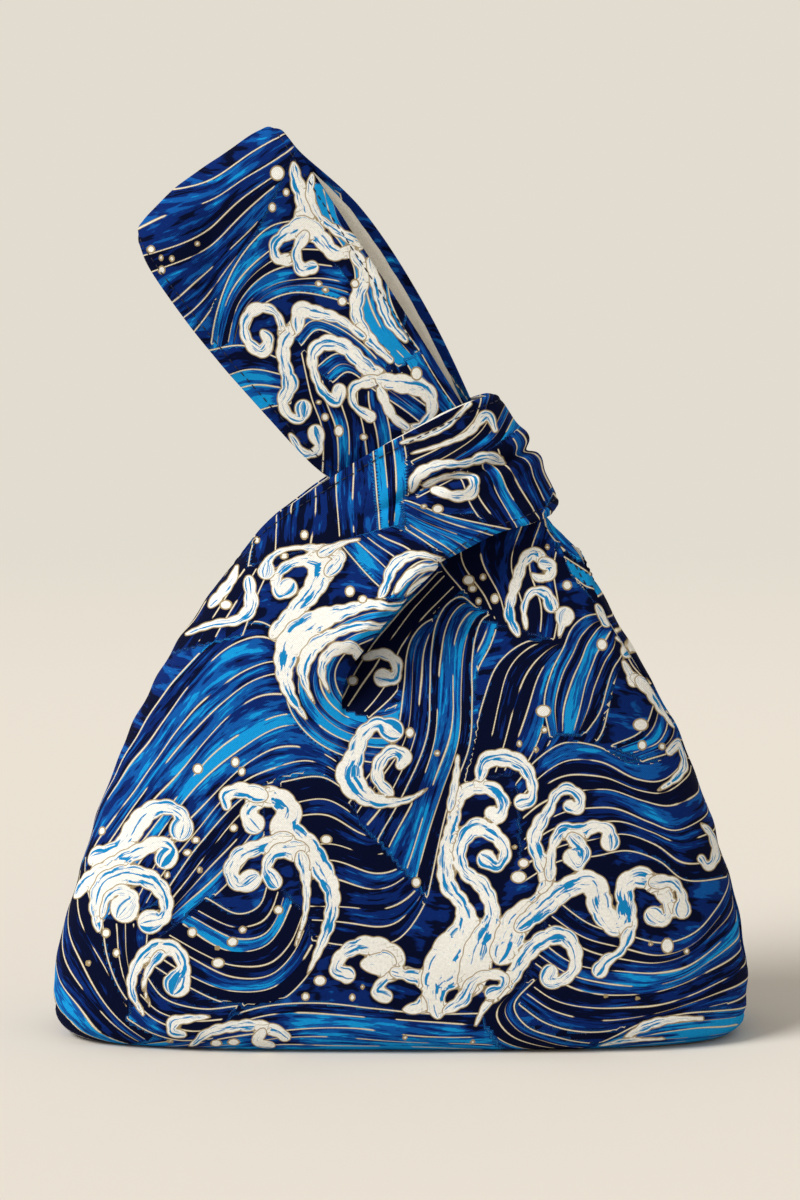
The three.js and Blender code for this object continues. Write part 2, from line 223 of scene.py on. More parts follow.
def handle_edges(side, row, below):
    """The four free edges of a panel, from the body to the folds where the other panel takes over."""
    long, band = side * LONG_SPREAD / 2, side * BAND_SPREAD / 2
    shift = 0 if side == FRONT else BACK_SHIFT
    (top_left, top_right), (knot_left, knot_right) = corners(LONG_TOP), corners(LONG_KNOT)
    band_top, band_foot = corners(BAND_END)
    left, split, right = row[0], row[SPLIT], row[-1]
    mouth = split[1]

    def near(p, dx, y, dz):
        return np.array([p[0] + dx, y, p[2] + dz])

    def along(a, b, share, bow, y):
        way = (b - a) / np.linalg.norm(b - a)
        p = a + (b - a) * share
        return np.array([p[0] + bow * way[2], y, p[2] - bow * way[0]])

    band_arm = edge_line(
        below[0], left, near(left, 9, band * 0.45, 12), near(left, 22, band * 0.8, 22),
        near(band_top, -61, band * 0.95, -31), near(band_top, -47, band, -22),
        near(band_top, -30, band, -13), near(band_top, -14, band * 0.92, -5),
        near(band_top, -3, band * 0.55, -0.5), near(band_top, 0, 0, 0))
    band_mouth = edge_line(
        below[SPLIT], split, near(split, 4, mouth + side * 5, 3), near(split, 12, mouth + side * 5, 7.5),
        near(band_foot, -24, band * 1.25, -8), near(band_foot, -12, band * 1.05, -5),
        near(band_foot, -3, band * 0.6, -2), near(band_foot, 0, 0, 0))
    long_mouth = edge_line(
        below[SPLIT], split, near(split, -6, mouth * 0.75, 9), near(split, -17, long * 1.35, 20),
        near(knot_left, 11, long * 1.1, -6), near(knot_left, 0, long, 0),
        along(knot_left, top_left, 0.3, -3, long), along(knot_left, top_left, 0.65, -4, long),
        along(knot_left, top_left, 0.93, -2, long * 0.85), near(top_left, 0, 0, 0))
    long_arm = edge_line(
        below[-1], right, near(right, -6, long * 1.3, 12), near(right, -20, long * 1.1, 28),
        near(knot_right, 8, long * 0.95, -14), near(knot_right, shift / 3, long * 0.95, 0),
        along(knot_right, top_right, 0.35, 1 + shift, long),
        along(knot_right, top_right, 0.7, 1 + shift, long),
        along(knot_right, top_right, 0.94, 0.5, long * 0.8), near(top_right, 0, 0, 0))
    return band_arm, band_mouth, long_mouth, long_arm


def strip(side, first_row, left_edge, right_edge, rows, roll):
    """Rows of a handle between two edges; the body's last row fades out along them."""
    shares = 1 - (1 - np.linspace(0, 1, rows + 1)) ** ROWS_CLOSER
    left, right = resample(left_edge, shares), resample(right_edge, shares)
    w = np.linspace(0, 1, len(first_row))[:, None]
    chord = left[0] + (right[0] - left[0]) * w
    out = []
    for t, a, b in zip(shares[1:], left[1:], right[1:]):
        row = a + (b - a) * w + (first_row - chord) * (1 - min(1, t / BODY_FADES)) ** 2
        bulge = HANDLE_BULGE * math.sin(math.pi * min(1, t * 1.1)) ** 2
        row[:, 1] += side * bulge * (w * (1 - w))[:, 0]
        row += np.array(roll) * np.sin(math.pi * np.clip(w, 0, 1)) ** ROLL_FLATNESS * t**4
        out.append(row)
    return out


def panel_net(side):
    """The coarse net of a panel: one grid up to the band's fold and one to the long handle's."""
    wall_foot = body_row(side, lambda share: BOTTOM_ROUNDING + 0 * share)
    out = np.stack([wall_foot[:, 0] / half_width(0.0) ** 2, wall_foot[:, 1] / half_depth(0.0) ** 2,
                    0 * wall_foot[:, 2]], axis=1)
    out /= np.linalg.norm(out, axis=1, keepdims=True)

    def inset(angle):
        row = wall_foot - out * BOTTOM_ROUNDING * (1 - math.cos(angle))
        row[:, 2] = BOTTOM_ROUNDING * (1 - math.sin(angle))
        return row

    rim = inset(math.pi / 2)
    rows = []
    for i in range(BASE_ROWS):
        share = i / BASE_ROWS
        rows.append(rim * [1 - BOTTOM_DEPTH / BOTTOM_WIDTH * (1 - share), share, 0])
    rows += [inset(math.pi / 2 * (1 - i / EDGE_ROWS)) for i in range(EDGE_ROWS)]
    rows.append(wall_foot)
    for i in range(1, WALL_ROWS + 1):
        def height_at(share):
            drop = SHOULDER_DROP * smoothstep(0.45, 1, share)
            return BOTTOM_ROUNDING + (SHOULDER_HEIGHT - BOTTOM_ROUNDING - drop) * i / WALL_ROWS
        rows.append(folded(side, body_row(side, height_at)))
    last, below = rows[-1], rows[-2]
    band_arm, band_mouth, long_mouth, long_arm = handle_edges(side, last, below)
    lean = math.radians(LONG_TOP["lean"])
    rise = TOP_ROLL * np.array([-math.sin(lean), 0, math.cos(lean)])
    band = strip(side, last[:SPLIT + 1], band_arm, band_mouth, BAND_ROWS, [2.5, 0, 1])
    long = strip(side, last[SPLIT:], long_mouth, long_arm, LONG_ROWS, rise)
    body = np.array(rows)
    left = np.concatenate([body[:, :SPLIT + 1], np.array(band)])
    right = np.concatenate([body[:, SPLIT:], np.array(long)])
    return relax(left, right, len(rows))


def relax(left, right, body_rows):
    """Eases the bend between the body and the handles; edges and the pleat stay as they are."""
    for net, turned in ((left, False), (right, True)):
        rows, columns = net.shape[:2]
        row = np.arange(rows)[:, None] - (body_rows - 1)
        column = np.arange(columns)[None, :]
        if turned:
            column = columns - 1 - column
        inland = np.minimum(column, columns - 1 - column)
        weight = EASE * np.clip(inland / 3, 0, 1)
        weight = weight * smoothstep(-14, -2, row) * (1 - smoothstep(10, 22, row))
        weight = weight * np.where(row < 2, smoothstep(2, 7, columns - 1 - column), 1)
        for _ in range(EASE_PASSES):
            mean = (net[:-2, 1:-1] + net[2:, 1:-1] + net[1:-1, :-2] + net[1:-1, 2:]) / 4
            net[1:-1, 1:-1] += (mean - net[1:-1, 1:-1]) * weight[1:-1, 1:-1, None]
    return left, right


def spread(net, at, mirror_start=False, mirror_end=False):
    """Points of a net at broken row numbers, on smooth curves through its rows."""
    flip = np.array([1, -1, 1])
    first = net[1] * flip if mirror_start else 2 * net[0] - net[1]
    last = net[-2] * flip if mirror_end else 2 * net[-1] - net[-2]
    padded = np.concatenate([first[None], net, last[None]])
    i = np.clip(np.floor(at).astype(int), 0, len(net) - 2)
    t = (at - i)[:, None, None]
    a, b, c, d = padded[i], padded[i + 1], padded[i + 2], padded[i + 3]
    return b + 0.5 * t * (c - a + t * (2 * a - 5 * b + 4 * c - d + t * (3 * (b - c) + d - a)))


def marks(*stretches):
    """Broken row numbers: each stretch is a count of rows and the steps that each is divided into."""
    out, start = [np.zeros(1)], 0
    for count, steps in stretches:
        out.append(start + np.arange(1, count * steps + 1) / steps)
        start += count
    return np.concatenate(out)


class Panel:
    """The fine net of one panel: its points, its faces and the rows of points along its edges."""

    def __init__(self, side):
        self.side = side
        left, right = panel_net(side)
        body = [(BASE_ROWS, FINE_ROWS["base"]), (EDGE_ROWS, FINE_ROWS["edge"]),
                (WALL_ROWS, FINE_ROWS["wall"])]
        up_left = marks(*body, (BAND_ROWS, FINE_ROWS["band"]))
        up_right = marks(*body, (LONG_ROWS, FINE_ROWS["long"]))
        across = [marks((COLUMNS_LEFT, FINE_ACROSS)), marks((COLUMNS_RIGHT, FINE_ACROSS))]
        nets = []
        for net, up, over in zip((left, right), (up_left, up_right), across):
            tall = spread(net, up, True, True)
            nets.append(spread(tall.transpose(1, 0, 2), over).transpose(1, 0, 2))
        left, right = nets
        self.top = top = sum(count * steps for count, steps in body)
        seam = (left[:top + 1, -1] + right[:top + 1, 0]) / 2
        left[:top + 1, -1] = seam
        self.left = np.arange(left[..., 0].size).reshape(left.shape[:2])
        self.right = self.left.size + np.arange(right[..., 0].size).reshape(right.shape[:2])
        self.points = np.concatenate([left.reshape(-1, 3), right.reshape(-1, 3)])
        self.right[:top + 1, 0] = self.left[:top + 1, -1]
        self.points[self.left.size + np.arange(top + 1) * right.shape[1]] = seam
        self.on_band = np.zeros(len(self.points), bool)
        self.on_band[self.left[top + 1:].ravel()] = True
        self.on_long = np.zeros(len(self.points), bool)
        self.on_long[self.right[top + 1:].ravel()] = True
        self.free = {"band_arm": self.left[top:, 0], "band_mouth": self.left[top:, -1],
                     "long_mouth": self.right[top:, 0], "long_arm": self.right[top:, -1]}
        self.sewn = {"left_side": self.left[:top + 1, 0], "right_side": self.right[:top + 1, -1],
                     "band_fold": self.left[-1], "long_fold": self.right[-1],
                     "bottom": np.concatenate([self.left[0], self.right[0, 1:]])}

    def quads(self, step=1):
        out = []
        for grid in (self.left[::step, ::step], self.right[::step, ::step]):
            a, b, c, d = grid[:-1, :-1], grid[:-1, 1:], grid[1:, 1:], grid[1:, :-1]
            order = (a, b, c, d) if self.side == FRONT else (d, c, b, a)
            out.append(np.stack([corner.ravel() for corner in order], axis=1))
        return np.concatenate(out)

    def rim(self):
        """All edge points in one loop, with the cloth on its left as seen from outside."""
        left, right, top = self.left, self.right, self.top
        loop = np.concatenate([left[0, :-1], right[0, :-1], right[:-1, -1], right[-1, :0:-1],
                               right[:top:-1, 0], left[top:-1, -1], left[-1, :0:-1], left[:0:-1, 0]])
        return loop if self.side == FRONT else np.roll(loop[::-1], 1)


def face_normals_to_points(points, quads):
    across = np.cross(points[quads[:, 2]] - points[quads[:, 0]], points[quads[:, 3]] - points[quads[:, 1]])
    out = np.zeros_like(points)
    for k in range(4):
        np.add.at(out, quads[:, k], across)
    return out


def shared_normals(panels):
    """Normals of both panels together, so that layers keep their thickness round the seams."""
    sums = np.concatenate([face_normals_to_points(p.points, p.quads()) for p in panels])
    places = np.round(np.concatenate([p.points for p in panels]) * 50).astype(int)
    _, same = np.unique(places, axis=0, return_inverse=True)
    same = same.ravel()
    total = np.zeros((same.max() + 1, 3))
    np.add.at(total, same, sums)
    total = total[same]
    total /= np.maximum(np.linalg.norm(total, axis=1, keepdims=True), 1e-9)
    first = len(panels[0].points)
    return total[:first], total[first:]


def nearest(points, line):
    """Distance from each point to a polyline, and how far along the line the nearest place is."""
    best = np.full(len(points), 1e9)
    where = np.zeros(len(points))
    run = lengths(line)
    for a, b, start in zip(line[:-1], line[1:], run):
        d = b - a
        t = np.clip((points - a) @ d / max(d @ d, 1e-12), 0, 1)
        gap = np.linalg.norm(points - a - t[:, None] * d, axis=1)
        closer = gap < best
        best[closer] = gap[closer]
        where[closer] = start + t[closer] * math.sqrt(d @ d)
    return best, where


def near_edge(panel, line, within):
    """As nearest, for points of a panel close to a row of its own points; far points get a large value."""
    path = panel.points[line]
    if len(path) > 60:
        path = path[np.unique(np.linspace(0, len(path) - 1, len(path) // 2).astype(int))]
    low, high = path.min(axis=0) - within, path.max(axis=0) + within
    close = np.all((panel.points > low) & (panel.points < high), axis=1)
    gap, run = np.full(len(panel.points), 1e3), np.zeros(len(panel.points))
    gap[close], run[close] = nearest(panel.points[close], path)
    return gap, run


def make_piece(name, points, faces, attributes=None):
    mesh = bpy.data.meshes.new(name)
    mesh.from_pydata((points * MM).tolist(), [], faces)
    mesh.polygons.foreach_set("use_smooth", [True] * len(mesh.polygons))
    for key, values in (attributes or {}).items():
        layer = mesh.attributes.new(key, "FLOAT", "POINT")
        layer.data.foreach_set("value", values.astype(np.float32))
    mesh.update()
    piece = bpy.data.objects.new(name, mesh)
    bpy.context.collection.objects.link(piece)
    return piece


def curve(points, per_span=8):
    p = np.array(points, float)
    return through(np.concatenate([[2 * p[0] - p[1]], p, [2 * p[-1] - p[-2]]]), per_span)


# Print: a traditional pattern of rolling swells and curling foam. It is drawn in millimetres on
# a plane seen from the front, across and up from the middle of the bag's foot.

# A swell fills the space between two curves: where it shows, its lines, its tone and the curves.
BOTH, ON_LEFT, ON_RIGHT = "both", "left", "right"
SWELLS = [
    # Body, left of the pleat
    (BOTH, 9, 0.11, [(-150, 40), (-128, 80), (-103, 118), (-86, 143), (-68, 160), (-54, 165),
      (-42, 158)],
     [(-92, 58), (-77, 80), (-60, 98), (-46, 105), (-32, 107), (-17, 98)]),
    (BOTH, 4, -0.02, [(-92, 58), (-77, 80), (-60, 98), (-52, 102)],
     [(-86, 50), (-72, 60), (-62, 70), (-52, 84)]),
    (BOTH, 7, -0.08, [(-74, 60), (-62, 54), (-54, 57), (-50, 68)],
     [(-100, 38), (-82, 27), (-66, 20), (-48, 20), (-36, 30), (-28, 46)]),
    (BOTH, 8, -0.16, [(-46, 104), (-30, 106), (-14, 97), (0, 99), (12, 108), (20, 124)],
     [(-34, 44), (-18, 42), (-2, 44), (8, 56), (13, 72)]),
    # Round the pleat
    (BOTH, 7, 0.20, [(8, 177), (-4, 172), (-14, 172), (-30, 164), (-42, 150), (-43, 134), (-34, 121),
      (-18, 113), (-2, 112), (10, 120)],
     [(4, 168), (-4, 160), (-12, 158), (-20, 154), (-25, 146), (-23, 138), (-16, 133), (-8, 132),
      (-1, 134), (5, 141)]),
    (BOTH, 8, 0.00, [(21, 177), (10, 166), (2, 153), (4, 140), (0, 124), (-12, 106), (-20, 96)],
     [(38, 168), (34, 156), (29, 146), (27, 133), (23, 116), (18, 98), (10, 60)]),
    # Painted shade: the darkest navy tone, laid over the pleat's hollow right of the lip, where the lip's
    # shade falls
    (ON_RIGHT, 3, -0.34, [(-24, 133), (-15, 150), (-3, 166), (12, 182), (22, 192)],
     [(-12, 129), (-1, 140), (3, 153), (12, 167), (25, 179)]),
    # Body, right of the pleat
    (BOTH, 8, -0.12, [(24, 104), (31, 134), (37, 149), (47, 157), (58, 159), (70, 163)],
     [(66, 112), (76, 122), (80, 138), (84, 150), (92, 166)]),
    (BOTH, 7, -0.03, [(44, 104), (52, 113), (62, 119), (74, 118), (88, 112), (98, 113), (106, 122),
      (114, 140)],
     [(46, 66), (60, 74), (74, 76), (86, 78), (98, 74), (108, 67), (124, 68), (140, 72)]),
    (BOTH, 8, -0.09, [(58, 60), (72, 50), (86, 46), (100, 43), (112, 47), (123, 60), (136, 84)],
     [(44, 20), (56, 12), (72, 9), (88, 11), (106, 15), (124, 20), (150, 30)]),
    # Along the foot
    (BOTH, 4, -0.05, [(52, 30), (43, 19), (48, 11), (62, 6), (80, 2)],
     [(32, 20), (28, 13), (34, 4), (44, -4), (52, -10)]),
    (BOTH, 5, 0.08, [(76, 4), (90, 12), (106, 16), (128, 18), (150, 22)],
     [(64, -8), (88, -2), (110, 0), (128, 2), (150, 4)]),
    (BOTH, 6, 0.04, [(-104, 2), (-86, 8), (-66, 15), (-50, 19), (-30, 20), (-10, 18), (10, 16),
      (30, 16)],
     [(-100, -16), (-60, -8), (-20, -7), (10, -8), (44, -12)]),
    # Low on the left
    (BOTH, 6, -0.10, [(-122, 76), (-116, 52), (-109, 36), (-102, 22), (-90, 8)],
     [(-150, 50), (-142, 26), (-126, 8), (-108, -4)]),
    (BOTH, 4, -0.14, [(-114, 52), (-112, 38), (-106, 24), (-94, 10)],
     [(-96, 52), (-97, 36), (-95, 22), (-88, 12)]),
    (BOTH, 3, -0.04, [(-98, 32), (-90, 22), (-76, 18), (-62, 19)],
     [(-104, 14), (-94, 8), (-84, 5), (-72, 6)]),
    # Under the mouth and down the right flank
    (BOTH, 5, -0.16, [(16, 206), (14, 190), (24, 176), (30, 166)],
     [(64, 206), (58, 186), (60, 170), (58, 158)]),
    (BOTH, 3, -0.16, [(84, 162), (86, 153), (88, 149), (93, 143), (100, 134)],
     [(94, 164), (99, 154), (105, 144), (112, 130)]),
    (BOTH, 4, -0.06, [(80, 118), (92, 124), (98, 138)],
     [(92, 112), (106, 118), (108, 132), (104, 146)]),
    # Left shoulder and short handle
    (ON_LEFT, 4, -0.12, [(-100, 150), (-80, 172), (-66, 192), (-60, 214)],
     [(-60, 160), (-54, 176), (-48, 190), (-46, 200)]),
    (ON_LEFT, 4, 0.05, [(-24, 196), (-19, 190), (-11, 181), (-3, 174)],
     [(-12, 206), (-2, 201), (8, 197), (16, 188)]),
    (ON_LEFT, 6, 0.02, [(-58, 186), (-56, 205), (-54, 240)], [(-8, 200), (-9, 212), (-12, 244)]),
    (ON_LEFT, 3, 0.00, [(-8, 200), (-9, 212), (-12, 244)], [(1, 202), (3, 218), (-2, 250)]),
    (ON_LEFT, 6, -0.05, [(4, 226), (16, 232), (28, 242), (32, 256)],
     [(6, 212), (24, 222), (40, 232), (48, 244)]),
    (ON_LEFT, 6, -0.09, [(22, 222), (26, 210), (36, 196), (44, 188)],
     [(44, 238), (52, 226), (62, 208), (70, 200)]),
    (ON_LEFT, 5, -0.10, [(0, 212), (12, 207), (26, 203), (42, 200)],
     [(2, 200), (8, 196), (16, 190), (22, 184)]),
    # Long handle
    (ON_RIGHT, 6, -0.11, [(-34, 356), (-56, 344), (-74, 332), (-108, 324)],
     [(-58, 306), (-68, 290), (-78, 276), (-92, 262)]),
    (ON_RIGHT, 6, -0.04, [(-74, 252), (-70, 283), (-62, 302), (-50, 315), (-38, 318)],
     [(-62, 246), (-60, 268), (-54, 284), (-42, 290), (-26, 288), (-10, 282)]),
    (ON_RIGHT, 3, 0.04, [(-74, 268), (-60, 270), (-44, 264)], [(-64, 240), (-52, 246), (-42, 248)]),
    (ON_RIGHT, 5, -0.14, [(-38, 268), (-34, 250), (-30, 238), (-30, 214)],
     [(-2, 266), (-6, 250), (-4, 236), (-2, 214)]),
    (ON_RIGHT, 3, 0.06, [(-2, 262), (8, 246), (22, 232), (34, 224)],
     [(2, 284), (16, 262), (30, 244), (46, 226)]),
    # Right flank and shoulder
    (BOTH, 2, 0.04, [(54, 206), (56, 200), (60.4, 194.2), (65.7, 189.6), (71.1, 186.6), (82, 180)],
     [(58, 214), (66, 206), (76, 198), (90, 188)]),
    (BOTH, 1, -0.30, [(61, 193.6), (65.7, 189.6), (71.1, 186.6), (82, 180)],
     [(62, 190), (69.5, 185.4), (75, 182), (84, 177)]),
    (BOTH, 1, -0.02, [(62, 190), (69.5, 185.4), (75, 182), (84, 177)],
     [(65, 183), (71.1, 178.6), (77.1, 176.7), (88, 170)]),
    (BOTH, 2, -0.08, [(65, 183), (71.1, 178.6), (77.1, 176.7), (88, 170)],
     [(78, 168), (80.9, 166.4), (88.5, 160.7), (95, 153)]),
    (BOTH, 5, -0.04, [(56.5, 121.5), (54.3, 134), (57, 146), (61.6, 155), (65, 162.5), (70, 167),
      (77, 168.6)],
     [(70, 122.5), (75.6, 130.7), (78, 139.1), (80.9, 147.4), (84, 153), (84, 160)]),
    # Rolls of the cloth beside the pleat, drawn over the rest
    (ON_RIGHT, 3, -0.02, [(-22, 94), (-12, 107), (-2, 122), (1, 140), (2.1, 152.2), (4, 159), (8, 164),
      (14, 167.4)],
     [(-9, 82), (2, 102), (10, 122), (11, 140), (11, 152), (13, 160), (15.5, 164.5), (19, 168)]),
    (ON_RIGHT, 4, 0.00, [(-9, 82), (2, 102), (10, 122), (11, 140), (11.5, 154), (13.5, 165),
      (17.5, 172), (23, 174.6), (28, 171)],
     [(10, 60), (18, 96), (26, 118), (27, 135), (27, 150), (28.5, 160), (31, 166), (34, 168)]),
    # Beside the pleat's lip
    (ON_LEFT, 3, 0.16, [(-7, 174), (-4, 182), (0, 188), (6, 191), (16, 189.5)],
     [(3, 173), (7, 177), (11, 180.6), (18, 186)]),
    # Streams below the long handle's foam
    (ON_RIGHT, 3, 0.20, [(-34, 332), (-30, 318), (-23, 309), (-18, 300), (-17, 289), (-14, 278),
      (-8, 268), (-1, 262)],
     [(-24, 330), (-20, 316), (-12, 306), (-6, 297), (-4, 287), (0, 278), (7, 268)]),
    (ON_RIGHT, 2, 0.20, [(-44, 277), (-37, 284), (-27, 283), (-15, 276), (-4, 267)],
     [(-38, 270), (-32, 276), (-24, 273), (-15, 266), (-7, 257)]),
    (ON_RIGHT, 2, 0.18, [(-33, 261), (-24, 267), (-13, 262), (-2, 255), (11, 246)],
     [(-26, 256), (-20, 260), (-10, 253), (2, 245), (13, 236)]),
]

